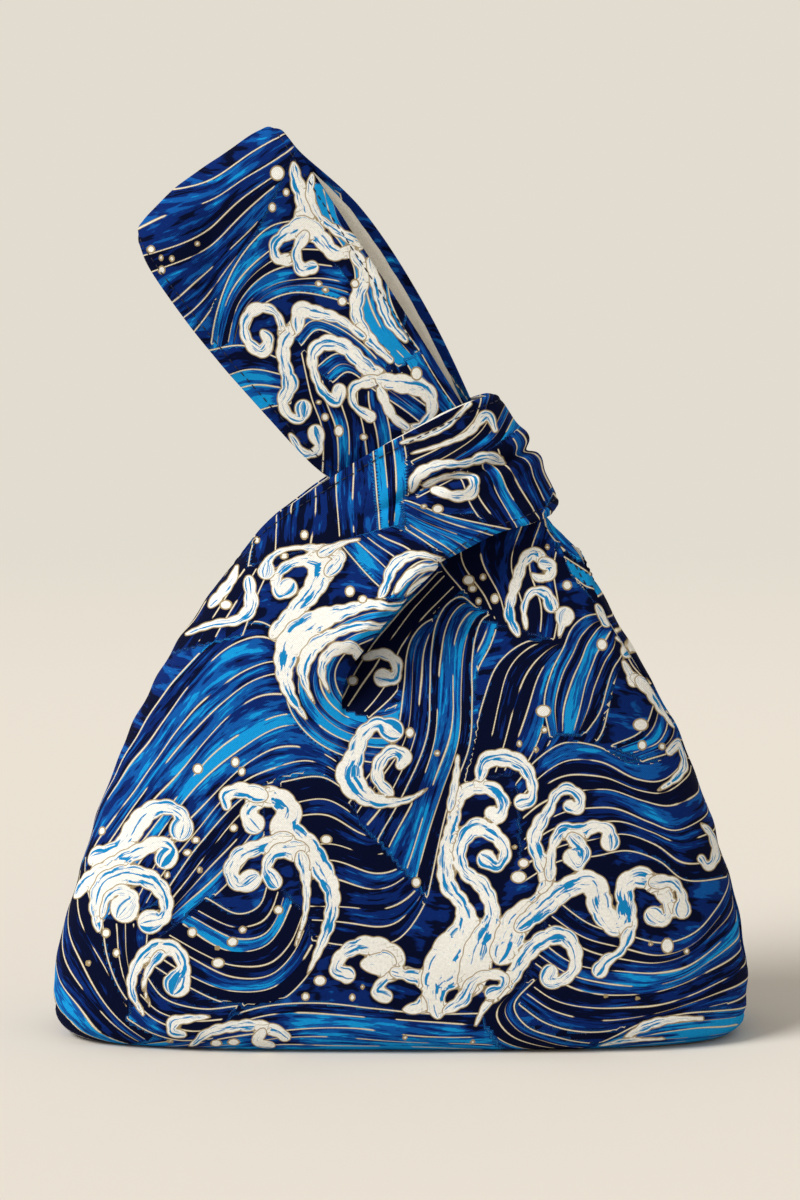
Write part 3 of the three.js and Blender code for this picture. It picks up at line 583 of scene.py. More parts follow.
# Foam is brush strokes: places on the plane and the stroke's half width there.
FOAM = [
    # Left side
    (BOTH, (-117, 75, 4), (-106, 79, 3.5), (-100, 88, 4), (-94.5, 93.5, 3.5), (-88, 94.5, 2.8),
     (-82.6, 90.7, 2.6), (-83.4, 86, 3.2)),
    (BOTH, (-126, 62, 3), (-118, 67, 3.5), (-109, 72.6, 3), (-98, 78.3, 3), (-91.6, 81.2, 2.6),
     (-87, 78.6, 2.3), (-89.2, 75, 3.1)),
    (BOTH, (-115.4, 48, 1.4), (-115.8, 57, 3), (-111.6, 66, 4), (-102, 68.8, 3.8), (-93.5, 66, 3.6),
     (-89.2, 59.3, 2.8), (-90.2, 52.4, 2.4), (-95.4, 51, 3.2)),
    (BOTH, (-114, 53, 1.2), (-111.4, 60.3, 1.6), (-106, 63.3, 2), (-101.6, 60.7, 2),
     (-104.9, 56.2, 3.8)),
    (BOTH, (-97.8, 15.6, 0.8), (-102.5, 25, 1.7), (-100.6, 34.6, 2.4), (-93.5, 41.3, 3),
     (-85.9, 40.3, 3), (-82.6, 33.7, 2.6), (-85, 27.8, 3.8)),
    (BOTH, (-95.4, 19, 0.5), (-97.8, 27, 0.9), (-95.4, 33.7, 1.5), (-91.6, 38.4, 1.6)),
    # Left of the middle
    (BOTH, (-35.5, 31, 0.4), (-31.8, 39, 1.5), (-27.5, 50, 2.5), (-26, 61, 3), (-29.9, 70.7, 4.2),
     (-36.5, 80, 5), (-44, 86, 5.5), (-42.4, 94, 4.4), (-48.9, 98.6, 4), (-55.5, 96.4, 3.2),
     (-58.6, 91.8, 2.4), (-56, 88.5, 3)),
    (BOTH, (-52.7, 99, 3.4), (-61.2, 101, 3), (-66.7, 99, 2.4), (-66.2, 95, 1.2)),
    (BOTH, (-43, 82, 4), (-53.6, 79.4, 3), (-61.2, 76.4, 3.2), (-64.7, 69.7, 2.9), (-61.4, 64.6, 2.5),
     (-57.2, 67, 3)),
    (BOTH, (-38, 78, 4.5), (-47.4, 77.5, 2.6), (-51.2, 71.6, 2.2), (-48.4, 66.4, 2.8)),
    (BOTH, (-38, 76, 3), (-36, 66, 1.8), (-36.4, 54, 1.1), (-40, 42, 0.4)),
    # Below the pleat
    (BOTH, (10, 101.6, 0.4), (3, 97.6, 1.2), (-6, 96.4, 2.2), (-14, 99, 3.6), (-19.5, 106, 5.2),
     (-17.6, 114, 3.6), (-14.6, 122, 3), (-8.9, 126.6, 2.7), (-3.4, 123.9, 3.2)),
    (BOTH, (-4, 100, 2), (-8.6, 104.6, 2.4), (-8.4, 111, 2.6), (-3, 116, 2.5), (1.4, 113.6, 2.6),
     (-0.2, 110.6, 1.4)),
    # Low in the middle and along the foot
    (BOTH, (-1.4, 36.5, 4.2), (-7, 40.3, 4.4), (-14.6, 42.2, 3.4), (-22.3, 38.6, 2.6),
     (-24.9, 32.7, 2.4), (-20.8, 31, 2.7)),
    (BOTH, (-13.7, 35, 2.6), (-7, 35, 4)),
    (BOTH, (10, 29, 3), (1.5, 31.8, 2.2), (-6.1, 29, 1.9), (-9.9, 24.4, 1.8), (-5.8, 22.7, 2.3)),
    (BOTH, (-72.6, 15.1, 0.6), (-80.2, 14.2, 1.6), (-86.7, 12.8, 2.2), (-87, 9, 1.9), (-83, 8, 1.4)),
    (BOTH, (-80, 1, 1.2), (-74.5, 8, 2), (-65, 11, 2.2), (-55.5, 11.4, 2.4), (-47, 9, 2.4),
     (-44.1, 6.6, 1.6)),
    (BOTH, (-52.7, 9, 2.2), (-55, 4.2, 2), (-50, 2, 2)),
    (BOTH, (1.5, 17.5, 1.4), (8, 19, 3), (12.4, 24, 4), (9, 29, 3.6), (1.5, 31, 2.2), (-2.3, 32, 1.4)),
    # The splash right of the middle
    (BOTH, (14, 16, 3), (13, 27, 5), (19, 36, 9), (25, 48, 5.5), (23.4, 57.6, 3), (17.9, 65, 3.4),
     (16.9, 76.4, 2.9), (19.6, 87.8, 2.6), (21.9, 98, 2.6), (27.2, 102, 2.8), (34.6, 101.6, 2.8),
     (38.8, 96.4, 2.5), (37, 91, 2.4), (34.3, 92.4, 2)),
    (BOTH, (26, 26, 5), (30, 40, 6), (34.8, 54, 3), (31, 64.6, 3.2), (23.8, 70.7, 2.6),
     (22.6, 79.3, 2.6), (28.1, 86.9, 3.6), (35.7, 84, 3), (39.8, 77.4, 2.4), (36.7, 72, 2.1),
     (32.6, 74.6, 2.8)),
    (BOTH, (30, 105.5, 2), (31.9, 112, 3), (39.5, 113.3, 3.4), (46.2, 110.6, 3), (49.8, 104, 2.2),
     (49.4, 97.6, 2), (46.2, 96.6, 2.7)),
    (BOTH, (18.6, 94, 1.6), (21, 106.8, 1.4), (21.5, 114, 0.5)),
    (BOTH, (38, 38, 5), (45, 52, 5.5), (53, 58, 4), (55.7, 66, 3.2), (52.8, 74.5, 2.8),
     (50.4, 82.1, 2.8), (53, 88.8, 2.8), (56.6, 94, 2), (58.8, 99.2, 2), (63.3, 101.8, 2.3),
     (68.3, 98.3, 2), (67.5, 93.9, 1.9), (64.2, 94.9, 2)),
    (BOTH, (56.6, 68, 2.4), (57.8, 80, 1.8), (61.4, 85.4, 3), (68, 85, 3.4), (73.7, 87.3, 2.4),
     (78.9, 85.9, 2.4), (79.4, 81.4, 2.5)),
    (BOTH, (65, 83, 3), (69.9, 77.4, 2.3), (67.5, 71.9, 1.6), (65.2, 75.3, 2.8)),
    (BOTH, (45, 49, 3), (54.7, 57, 4), (64.2, 64.4, 4), (72.8, 66, 4.4), (76, 56, 4.6),
     (80.4, 48.6, 2.8), (85.1, 49.5, 4.2), (85.6, 57.4, 3.6), (84.8, 65, 3.4), (90.8, 68, 4),
     (98.4, 63.4, 3.2), (102.4, 56, 2.5), (99.4, 51, 2), (96.2, 53.1, 2.7)),
    (BOTH, (96, 66, 3), (103.2, 66.2, 2.2), (107, 61.2, 2), (107, 55.7, 2.5)),
    (BOTH, (87, 47, 3), (83.2, 39.3, 1.6), (78.5, 36.5, 2.3), (75.6, 32.7, 2.2)),
    # The curl low on the right
    (BOTH, (28.1, 10.9, 0.5), (31.9, 18.5, 1.4), (40.5, 27, 2.6), (46.4, 37, 3.2), (53.8, 44.1, 3.4),
     (61.4, 45.8, 3.5), (66, 40.3, 2.9), (65.8, 32.9, 2.3), (60.4, 28.2, 2.2), (54.9, 28.2, 2.2),
     (56.6, 31.8, 2.3)),
    (BOTH, (16.7, 17, 1.6), (23.4, 21.3, 2.8), (27.2, 28, 2.3), (32.9, 30.8, 2.1), (39.3, 29.9, 1.9),
     (38.4, 25.8, 1.5), (34.5, 23.9, 2)),
    # Foot, right
    (BOTH, (85, 7, 0.6), (92.7, 11.3, 2), (102.2, 13.9, 1.5), (114, 14.4, 0.6)),
    (BOTH, (75.6, 1.4, 0.6), (85.1, 4.9, 1.4), (99.4, 5.8, 0.7)),
    # Under the mouth
    (BOTH, (44.4, 160, 1.4), (41.2, 167.6, 2.1), (42, 174.2, 1.9), (44.4, 181.8, 2.2), (46.4, 187.6, 2),
     (50, 191, 2.8), (54.4, 188.8, 1.2)),
    (BOTH, (49.4, 183.2, 0.8), (52.4, 181.6, 1.5), (56.6, 182.6, 1.8), (57.6, 186.4, 1.8),
     (54.4, 187.2, 1.8)),
    (BOTH, (47.5, 162.4, 0.9), (46.8, 171, 1.3), (50.2, 176.6, 1.7), (55.2, 175.6, 2.3),
     (57.2, 171.4, 2)),
    (BOTH, (60.2, 160, 1), (61.2, 163.8, 1.4), (62.3, 167.1, 2.7)),
    # Right flank
    (BOTH, (75, 171, 1.6), (78.9, 165.7, 1.8)),
    (BOTH, (82.5, 159, 1), (86, 158.2, 2.2), (87.8, 155.6, 2.6), (86, 153.8, 1.8)),
    (BOTH, (84.6, 150, 1), (88.9, 142.9, 1.8)),
    (BOTH, (90.8, 143, 2.4), (95.6, 138.2, 2.6), (99.4, 132.5, 2), (104, 125.8, 1)),
    (BOTH, (98, 101, 0.5), (105, 106, 1.6), (109, 113, 2.2), (106, 119, 1.8), (102.5, 116, 1.4)),
    (BOTH, (114, 88, 0.8), (118.5, 84, 2), (120.5, 77, 2.4), (117, 72, 1.6), (114, 75, 1.2)),
    # Left shoulder
    (ON_LEFT, (-82, 160, 0.8), (-71, 164, 1.5), (-62, 165.7, 2), (-57, 170, 2.8), (-57, 176, 2.4),
     (-57.6, 181, 1.4)),
    (ON_LEFT, (-72, 171, 1.6), (-67.8, 176, 2), (-64, 180.9, 1.8), (-62.4, 186, 0.6)),
    (ON_LEFT, (-48, 160, 3), (-40, 169, 3.4), (-32.7, 178, 4), (-30, 186.6, 5), (-37, 188.2, 2.2),
     (-44.1, 185.4, 2), (-47.7, 180, 1.9), (-46, 175, 1.7), (-42.9, 177.8, 2.6)),
    (ON_LEFT, (-27, 184, 3), (-22.8, 189.5, 2.2), (-28.9, 192, 2.4), (-38.4, 193.2, 0.9),
     (-46, 191.6, 1.1), (-50, 188.3, 1.5), (-51, 184.4, 2.5)),
    (ON_LEFT, (-30, 191, 2.4), (-21.3, 195.1, 0.9), (-15.6, 196.3, 0.3)),
    # Left of the pleat
    (ON_LEFT, (-36, 128, 0.6), (-42, 137, 2.2), (-44.6, 147, 3.4), (-41.4, 157, 5.4),
     (-32.7, 164.7, 4.6), (-21, 169, 2.8), (-11.8, 171.8, 2), (-3, 170.6, 1.6), (4, 172, 1)),
    (ON_LEFT, (-33, 134, 0.4), (-36, 140, 1.2), (-37.2, 147, 2.4), (-33, 155.6, 3), (-24.1, 161, 2),
     (-13.7, 163.6, 1.8), (-6, 163, 1.4), (0, 165.4, 0.9)),
    (ON_LEFT, (-27, 138, 0.4), (-29.8, 144, 1.3), (-29.6, 149.8, 1.9), (-25.1, 154.5, 2.5),
     (-18.4, 155, 2.5), (-15.3, 151.6, 1.4)),
    # Beside the pleat's lip
    (ON_LEFT, (-7.6, 175, 1.8), (-5.4, 180, 1.7), (-3.6, 185, 2.3), (1, 189, 2.2), (7, 190.4, 1.4),
     (15, 188.4, 0.9)),
    (ON_LEFT, (-2, 176.4, 1.2), (1.6, 181.4, 1.9), (7, 185, 1.7), (15, 186, 1.1)),
    (ON_LEFT, (2.4, 175, 0.8), (6.6, 179.2, 1.4), (12, 182, 1.0)),
    # In the pleat's hollow
    (ON_RIGHT, (-14, 151.4, 1.4), (-7, 153, 2), (-1.8, 149.5, 2.2), (-2.5, 143.4, 1.9), (-7, 144, 2.4)),
    # Short handle
    (ON_LEFT, (4, 215, 1.2), (6, 220, 2.4), (14, 224.5, 2), (24, 225, 1.4), (32, 227.6, 2.2),
     (39, 226.4, 1.2)),
    (ON_LEFT, (9, 217, 1.2), (18, 220.4, 1), (27, 220, 1.8), (26.6, 214, 2.4), (20, 212.4, 2),
     (13, 215, 1.6)),
    (ON_LEFT, (0, 233, 0.8), (10, 236, 1.2), (18, 240, 1.2), (26, 248, 0.8)),
    (ON_LEFT, (4, 229, 0.5), (16, 232.5, 0.9), (26, 237, 1.4), (33, 244, 2), (36, 238, 0.8)),
    # Long handle
    (ON_RIGHT, (-40.8, 339, 1.4), (-39.8, 333, 2.5), (-37.5, 326.3, 2.9), (-36.4, 318, 3)),
    (ON_RIGHT, (-33.7, 335, 1), (-34.6, 328, 1.8), (-31, 319, 1.4), (-24, 313.4, 2), (-16, 309, 2)),
    (ON_RIGHT, (-17.5, 306.3, 2), (-25.1, 305, 2.8), (-30.8, 311, 3.4), (-36.5, 315.2, 4.2),
     (-44.1, 312.2, 2.7), (-48.2, 308, 2.1), (-47, 303, 1.9), (-43.4, 302.6, 1.8)),
    (ON_RIGHT, (-36.5, 312, 2.6), (-39.8, 305.4, 1.9), (-37.7, 299, 2.5), (-33.9, 299.7, 1.9)),
    (ON_RIGHT, (-18, 305, 2.4), (-13.7, 297.8, 2.4), (-16.4, 289.2, 2.9), (-16.6, 280.7, 2.5),
     (-11.8, 272.1, 2.4), (-4.2, 264.5, 1)),
    (ON_RIGHT, (-11.8, 302.5, 1.8), (-8.5, 290, 2.4), (-4.5, 279, 2), (1.6, 272.1, 1)),
    (ON_RIGHT, (-44.1, 272, 2.4), (-47, 281.6, 1.4), (-50.8, 284.2, 1.9), (-56.4, 283.3, 2.5),
     (-59.6, 277.8, 1.9), (-57.9, 271.3, 2.1), (-52.8, 267.6, 2.5), (-50.3, 271.9, 2.2),
     (-52.4, 274.9, 1)),
    (ON_RIGHT, (-39, 279, 2.6), (-44.6, 270.2, 2.8), (-44.1, 262.6, 2.5), (-42.2, 255, 3.2),
     (-45, 248.3, 2.2), (-42.2, 243, 1.9), (-37.7, 242, 1.7), (-37.2, 246.2, 2.3)),
    (ON_RIGHT, (-42, 236, 1.2), (-36.5, 228.8, 1.8), (-31.5, 230.5, 1.9), (-32.4, 236.9, 2.3)),
    (ON_RIGHT, (-39.3, 276, 2), (-38.4, 283.3, 3.2), (-32.7, 282.6, 2.8), (-23.2, 279.9, 1.8),
     (-14.6, 273.4, 1.2)),
    (ON_RIGHT, (-7, 257.4, 3), (-14.6, 263, 3), (-21.3, 269.4, 3), (-28.9, 271, 3), (-33.4, 267.3, 2.5),
     (-33, 259.7, 1.7), (-29.6, 252.3, 1.9), (-24.3, 248.8, 2.4), (-23.4, 253.1, 1.8)),
    (ON_RIGHT, (-10, 257, 2.6), (-18, 254, 1.9), (-17.8, 247.4, 1.5), (-11.8, 243, 1.9)),
    (ON_RIGHT, (-8, 257, 2.6), (0.6, 255.4, 3.6), (9.1, 253.1, 3.4), (11.9, 246.4, 2.2),
     (9, 240.7, 1.8), (2, 237.6, 1.4)),
    (ON_RIGHT, (-8, 253, 2), (-3, 243, 1.8), (2, 239, 1.2)),
]

# Drops: across, up, half width
DROPS = [
    (-77.3, 109.2, 1.9), (-62.9, 111.7, 1.7), (-60.4, 108.1, 1.5), (-113.4, 85.4, 1.6), (-78, 82.1, 1.4),
    (-81.1, 77.3, 1.4), (-63.6, 86.7, 1.5), (-76.4, 70.7, 1.1), (-88.6, 68.8, 1.2), (-79.4, 47, 1.8),
    (-64.2, 43.3, 1.9), (-69.6, 35.3, 2.1), (-69.9, 41, 0.9), (-112.5, 46.8, 1.7), (-108.5, 39.2, 1.5),
    (-119, 35.3, 1), (-46.6, 55.5, 1.7), (-28.4, 82.3, 1.9), (-30.8, 28.6, 2.1), (-36.3, 22.5, 1.5),
    (-18.5, 22.3, 1.2), (-14.6, 26.3, 0.8), (-70.2, 3.3, 2.2), (-63.6, 4.2, 2.1), (-87.8, 4.2, 1.2),
    (-60.3, 47.9, 1.4), (3.4, 123, 1.8), (45, 118.7, 1.1), (13.7, 115.1, 1.1), (46.6, 73.3, 1.9),
    (44.7, 68, 2.6), (43.1, 79.4, 0.9), (5.8, 66, 1.8), (101.3, 41.9, 2.6), (108.6, 39.8, 1.1),
    (89.9, 22, 0.8), (77.8, 22.9, 0.8), (94.9, 42.7, 0.9), (27.2, 4.2, 1), (1.5, 6.8, 1),
    (91.8, 118.2, 1.7), (99.4, 117.7, 1.3), (91.3, 126, 2.6), (54, 131, 2.5), (54.4, 123.9, 1.2),
    (35.7, 173.8, 1.7), (29.5, 172.8, 1.2), (31.2, 182, 1.2), (25.7, 180.9, 2), (27.2, 177.6, 1.4),
    (63.3, 179, 1.8), (76.6, 156.5, 2.1), (55.7, 193.5, 0.9), (51.4, 116.5, 1), (-18.4, 142.9, 1.8),
    (-66.4, 171.4, 2), (-44.1, 189.9, 1.4), (-55, 196.1, 1.2), (-36.5, 198, 1.6), (-19.4, 176.6, 1.9),
    (-14.6, 173.6, 1.6), (13.9, 207.7, 1.8), (8.6, 208.5, 1), (-47, 335.5, 2.7), (-48.9, 322.5, 1.5),
    (-43.6, 328.2, 1.3), (-17.5, 293.5, 1.6), (-31.3, 293.5, 1.2), (-28.7, 291.1, 1.1), (-22.3, 286.8, 1.7),
    (5.8, 259.3, 2.3), (-23.7, 237.4, 1.9), (-28.9, 242.7, 1.4), (-14.2, 235.1, 1.3), (-31.3, 248.4, 0.9),
    (-94.9, 306.5, 1.4), (-90.9, 298.7, 1.4), (-91.1, 303.3, 0.9), (-87, 303, 1), (-77.4, 308.7, 0.9),
]

UNEVEN, UNEVEN_TURN, UNEVEN_SPACING = 0.16, 2.3, 0.37  # how a swell's lines stray from even spacing
WAVER, WAVER_LENGTH = 0.1, 9
PLAIN_SWELL, PLAIN_WAVE, PLAIN_SPACING, PLAIN_TONE = 0.5, 0.36, 14.0, -0.08  # between the swells
FOAM_FULLNESS, FOAM_LOBES, FOAM_LOBE_LENGTH = 0.72, 0.34, 5.6
CURL_SWELLS, CURL_LENGTH = 0.42, 4.5  # a stroke grows towards the ball at its end
STREAKS_ACROSS = 1.9
FAR_AWAY = 50.0  # a distance in millimetres that no line of the print is as wide as
LINE_REACH = 2.0  # distances to a line are kept this far from it
SWELL_STEPS, CLOSING_IN = 60, 10  # steps along a swell's curves, and passes to place a point between them


def edged(gap):
    """Signed distances to a line; those that don't matter are far away on the same side."""
    return np.where(np.abs(gap) < LINE_REACH, gap, np.sign(gap) * FAR_AWAY)


def across_swell(p, first, second):
    """For places in a swell: the share of the way across it, the way along it and its width there."""
    shares = np.linspace(0, 1, SWELL_STEPS + 1)
    sides = []
    for line in (first, second):
        run = lengths(line) / lengths(line)[-1]
        sides.append(np.stack([np.interp(shares, run, line[:, k]) for k in (0, 1)], axis=1))
    a, b = sides

    def at(line, u):
        return np.stack([np.interp(u, shares, line[:, k]) for k in (0, 1)], axis=1)

    centre = (a + b) / 2
    run = lengths(centre)
    u = np.interp(measure(p, centre)[1], run, shares)
    gap_a, gap_b = measure(p, a)[0], measure(p, b)[0]
    v = gap_a / np.maximum(gap_a + gap_b, 1e-6)
    step = shares[2]
    for _ in range(CLOSING_IN):
        on_a, on_b = at(a, u), at(b, u)
        way = on_b - on_a
        off = p - on_a - way * v[:, None]
        low, high = np.clip(u - step, 0, 1), np.clip(u + step, 0, 1)
        onward = (at(a, high) - at(a, low)) * (1 - v[:, None]) + (at(b, high) - at(b, low)) * v[:, None]
        onward /= (high - low)[:, None]
        size = onward[:, 0] * way[:, 1] - onward[:, 1] * way[:, 0]
        size = np.where(np.abs(size) < 1, np.copysign(1, size), size)
        more_u = (off[:, 0] * way[:, 1] - off[:, 1] * way[:, 0]) / size
        more_v = (onward[:, 0] * off[:, 1] - onward[:, 1] * off[:, 0]) / size
        u = np.clip(u + np.clip(more_u, -0.08, 0.08), 0, 1)
        v = np.clip(v + np.clip(more_v, -0.2, 0.2), 0, 1)
    width = np.abs(size) / np.maximum(np.hypot(*onward.T), 1e-6)
    return v, u * run[-1], width


def measure(p, line, radius=None):
    """Distance from points of the plane to a stroke, the way along it and the way across it."""
    best = np.full(len(p), 1e6)
    along, across = np.zeros(len(p)), np.zeros(len(p))
    run = lengths(line)
    for k, (a, b) in enumerate(zip(line[:-1], line[1:])):
        d = b - a
        size = max(d @ d, 1e-9)
        way = p - a
        t = np.clip(way @ d / size, 0, 1)
        off = way - t[:, None] * d
        gap = np.hypot(off[:, 0], off[:, 1])
        if radius is not None:
            gap = gap - radius[k] - (radius[k + 1] - radius[k]) * t
        closer = gap < best
        best[closer] = gap[closer]
        along[closer] = run[k] + t[closer] * math.sqrt(size)
        across[closer] = (way[closer, 0] * d[1] - way[closer, 1] * d[0]) / math.sqrt(size)
    return best, along, across


def enclosed(p, ring):
    x, z = p.T
    out = np.zeros(len(p), bool)
    for (x0, z0), (x1, z1) in zip(ring, np.roll(ring, -1, axis=0)):
        if z0 != z1:
            out ^= ((z0 > z) != (z1 > z)) & (x < (x1 - x0) * (z - z0) / (z1 - z0) + x0)
    return out


def close_to(p, line, margin):
    return np.nonzero(np.all((p > line.min(axis=0) - margin) & (p < line.max(axis=0) + margin), axis=1))[0]


def printed(p, zone):
    """The print's fields at places on the plane, for the part of a panel left or right of the pleat."""
    x, z = p.T
    ink = {"swell": PLAIN_SWELL + PLAIN_WAVE * np.sin(z / 4 + np.sin(x / 15)), "along": x.copy(),
           "spacing": np.full(len(p), PLAIN_SPACING), "tone": np.full(len(p), PLAIN_TONE)}
    ink.update({key: np.full(len(p), FAR_AWAY) for key in ("border", "ending", "foam", "outline", "drop")})
    ink.update({key: np.zeros(len(p)) for key in ("veil", "veil_along")})
    for number, (where, lines, tone, first, second) in enumerate(SWELLS):
        if where not in (BOTH, zone):
            continue
        a, b = curve(first), curve(second)
        ring = np.concatenate([a, b[::-1]])
        near = close_to(p, ring, 3)
        q = p[near]
        drawn = np.minimum(measure(q, a)[0], measure(q, b)[0])
        ends = np.minimum(measure(q, ring[[0, -1]])[0], measure(q, np.array([a[-1], b[-1]]))[0])
        rim = np.minimum(drawn, ends)
        within = enclosed(q, ring)
        spot = near[within]
        share, along, width = across_swell(q[within], a, b)
        count = lines * share
        turn = UNEVEN_TURN * count + number
        astray = UNEVEN * np.sin(turn) + WAVER * np.sin(along / WAVER_LENGTH + turn)
        ink["swell"][spot] = 20 * (number + 1) + count + astray
        ink["spacing"][spot] = width / lines / (1 + UNEVEN_SPACING * np.cos(turn))
        ink["along"][spot] = along
        ink["tone"][spot] = tone
        outside = np.where(rim < LINE_REACH, edged(-drawn), ink["border"][near])
        ink["border"][near] = np.where(within, edged(drawn), outside)
        ink["ending"][near] = np.where(within, rim, np.minimum(rim, ink["ending"][near]))
    for number, (where, *stroke) in enumerate(FOAM):
        if where not in (BOTH, zone):
            continue
        line = curve(stroke)
        reach = lengths(line[:, :2])
        lobes = FOAM_LOBES * np.abs(np.sin(math.pi * reach / FOAM_LOBE_LENGTH))
        line[:, 2] *= FOAM_FULLNESS + lobes + CURL_SWELLS * smoothstep(CURL_LENGTH, 0, reach[-1] - reach)
        near = close_to(p, line[:, :2], line[:, 2].max() + 4)
        gap, along, across = measure(p[near], line[:, :2], line[:, 2])
        before, drawn = ink["foam"][near], ink["outline"][near]
        ink["foam"][near] = np.minimum(before, gap)
        nearer = (gap < 0) | (np.abs(gap) < np.minimum(np.abs(drawn), LINE_REACH))
        ink["outline"][near] = np.where(nearer, edged(gap), drawn)
        own = (gap < 0) | ((gap < 2) & (before > 0))
        size = np.maximum(np.abs(across) - gap, 0.3)
        ink["veil"][near[own]] = (STREAKS_ACROSS * across / size)[own] + 9.0 * number
        ink["veil_along"][near[own]] = along[own]
    for number, (across, up, size) in enumerate(DROPS):
        near = close_to(p, np.array([[across, up]]), size + 4)
        off = p[near] - [across, up]
        stretch = 1 + 0.12 * math.sin(number)
        gap = np.hypot(off[:, 0] * stretch, off[:, 1] / stretch) - size
        ink["drop"][near] = np.minimum(ink["drop"][near], gap)
    return ink


# The camera's place, which also settles how the print lies on the cloth
ELEVATION, DISTANCE, AIM_HEIGHT = math.radians(6), 1270, 164.5
FRAME_HEIGHT, FRAME_PIXELS, FOOT_BELOW_MIDDLE = 456, 1200, 173.3
SENSOR = 36
UNROLLED = 0.6  # the share of the cloth's own width that the print keeps where it turns away


def drawn_at(points):
    """Places on the print's plane: what the camera sees, but spread out where the cloth turns away."""
    aim = np.array([0, 0, AIM_HEIGHT])
    look = np.array([0, math.cos(ELEVATION), -math.sin(ELEVATION)])
    up = np.array([0, math.sin(ELEVATION), math.cos(ELEVATION)])
    way = points - aim + look * DISTANCE
    size = DISTANCE / (way @ look)
    return np.stack([way[..., 0] * size, (way @ up) * size + FOOT_BELOW_MIDDLE], axis=-1)


def unrolled(grid, top, outward):
    """Places on the plane for one grid of a panel; outward is the way from the pleat to the seam."""
    place = drawn_at(grid)
    steps = np.linalg.norm(np.diff(grid[:top + 1], axis=1), axis=2)
    seen = np.diff(place[:top + 1, :, 0], axis=1)
    columns = seen.shape[1]
    share = np.arange(columns) / columns if outward > 0 else 1 - np.arange(columns) / columns
    fade = 1 - smoothstep(0.72, 1.0, np.arange(top + 1) / top)[:, None]
    more = np.maximum(UNROLLED * steps - seen, 0) * smoothstep(0.25, 0.4, share) * fade
    if outward > 0:
        place[:top + 1, 1:, 0] += np.cumsum(more, axis=1)
    else:
        place[:top + 1, :-1, 0] -= np.cumsum(more[:, ::-1], axis=1)[:, ::-1]
    foot = BASE_ROWS * FINE_ROWS["base"] + EDGE_ROWS * FINE_ROWS["edge"]
    drop = np.linalg.norm(np.diff(grid[:foot + 1], axis=0), axis=2)
    place[:foot, :, 1] = place[foot, :, 1] - np.cumsum(drop[::-1], axis=0)[::-1]
    return place


# Surface: seams, stitching, creases and the soft unevenness of handled cotton
CREASES = [
    # part of the panel, depth, width, swelling beside it, places across and up on the front
    ("on_band", 2.4, 1.7, 1.5, [(-26, 193), (-2, 203), (4, 207), (38, 218.5), (50, 223)]),
    ("on_long", 1.5, 4.5, 0.4, [(-71, 305), (-69, 286), (-66, 266)]),
]
CORNER_SEAMS = [[(-131, 20, 10), (-132, 0, 14), (-127, -25, 9), (-114, -42, 3)],
                [(131, 0, 10), (128, -25, 7), (116, -42, 3)]]
STITCH_INSET, STITCH_PITCH, STITCH_LENGTH, STITCH_RADIUS = 4.0, 3.2, 2.2, 0.24
SLACK, SLACK_LENGTH, RUMPLE, RUMPLE_LENGTH = 0.7, 52, 0.22, 17
EDGE_DIP, STITCH_DIP, CORNER_DIP, EDGE_PUCKER, SEAM_PUCKER = 0.5, 0.3, 0.8, 0.16, 0.3


def ripple(points, length, seed):
    """A smooth random height, mostly between -1 and 1, with bumps of about the given length."""
    random = np.random.default_rng(seed)
    out = np.zeros(len(points))
    for _ in range(7):
        way = random.normal(size=3)
        way *= 2 * math.pi / length * random.uniform(0.75, 1.3) / np.linalg.norm(way)
        out += np.sin(points @ way + random.uniform(0, 2 * math.pi))
    return out / 3.2


def relief(panel):
    """How far each point of a panel lies out of its smooth shape."""
    points, side = panel.points, panel.side
    height = SLACK * ripple(points, SLACK_LENGTH, 5 + side)
    height += RUMPLE * ripple(points, RUMPLE_LENGTH, 9 + side)
    for line in panel.free.values():
        gap, run = near_edge(panel, line, 7)
        height -= EDGE_DIP * np.clip(1 - gap / 1.6, 0, 1) ** 2 + STITCH_DIP * bell(gap - STITCH_INSET, 1.1)
        height += EDGE_PUCKER * bell(gap - 2.2, 1.5) * (np.sin(run / 1.7) + np.sin(run / 2.9 + 1))
    for name in ("left_side", "right_side"):
        gap, run = near_edge(panel, panel.sewn[name], 16)
        height -= EDGE_DIP * np.clip(1 - gap / 1.4, 0, 1) ** 2
        height += SEAM_PUCKER * bell(gap - 4, 5) * (np.sin(run / 5.2) + np.sin(run / 3.1 + 2))
    for part, depth, width, swelling, places in CREASES:
        own = getattr(panel, part)
        gap, run, _ = measure(points[own][:, [0, 2]], curve(places))
        grow = smoothstep(0, 45, run) if part == "on_band" else 1
        height[own] += grow * (swelling * bell(gap - 3 * width, 2.2 * width) - depth * bell(gap, width))
    for places in CORNER_SEAMS:
        gap, _ = nearest(points, curve(places, 6) * [1, -side, 1])
        height -= CORNER_DIP * (bell(gap, 1.4) - 0.5 * bell(gap - 4, 3))
    return height * smoothstep(-1, 9, points[:, 2])


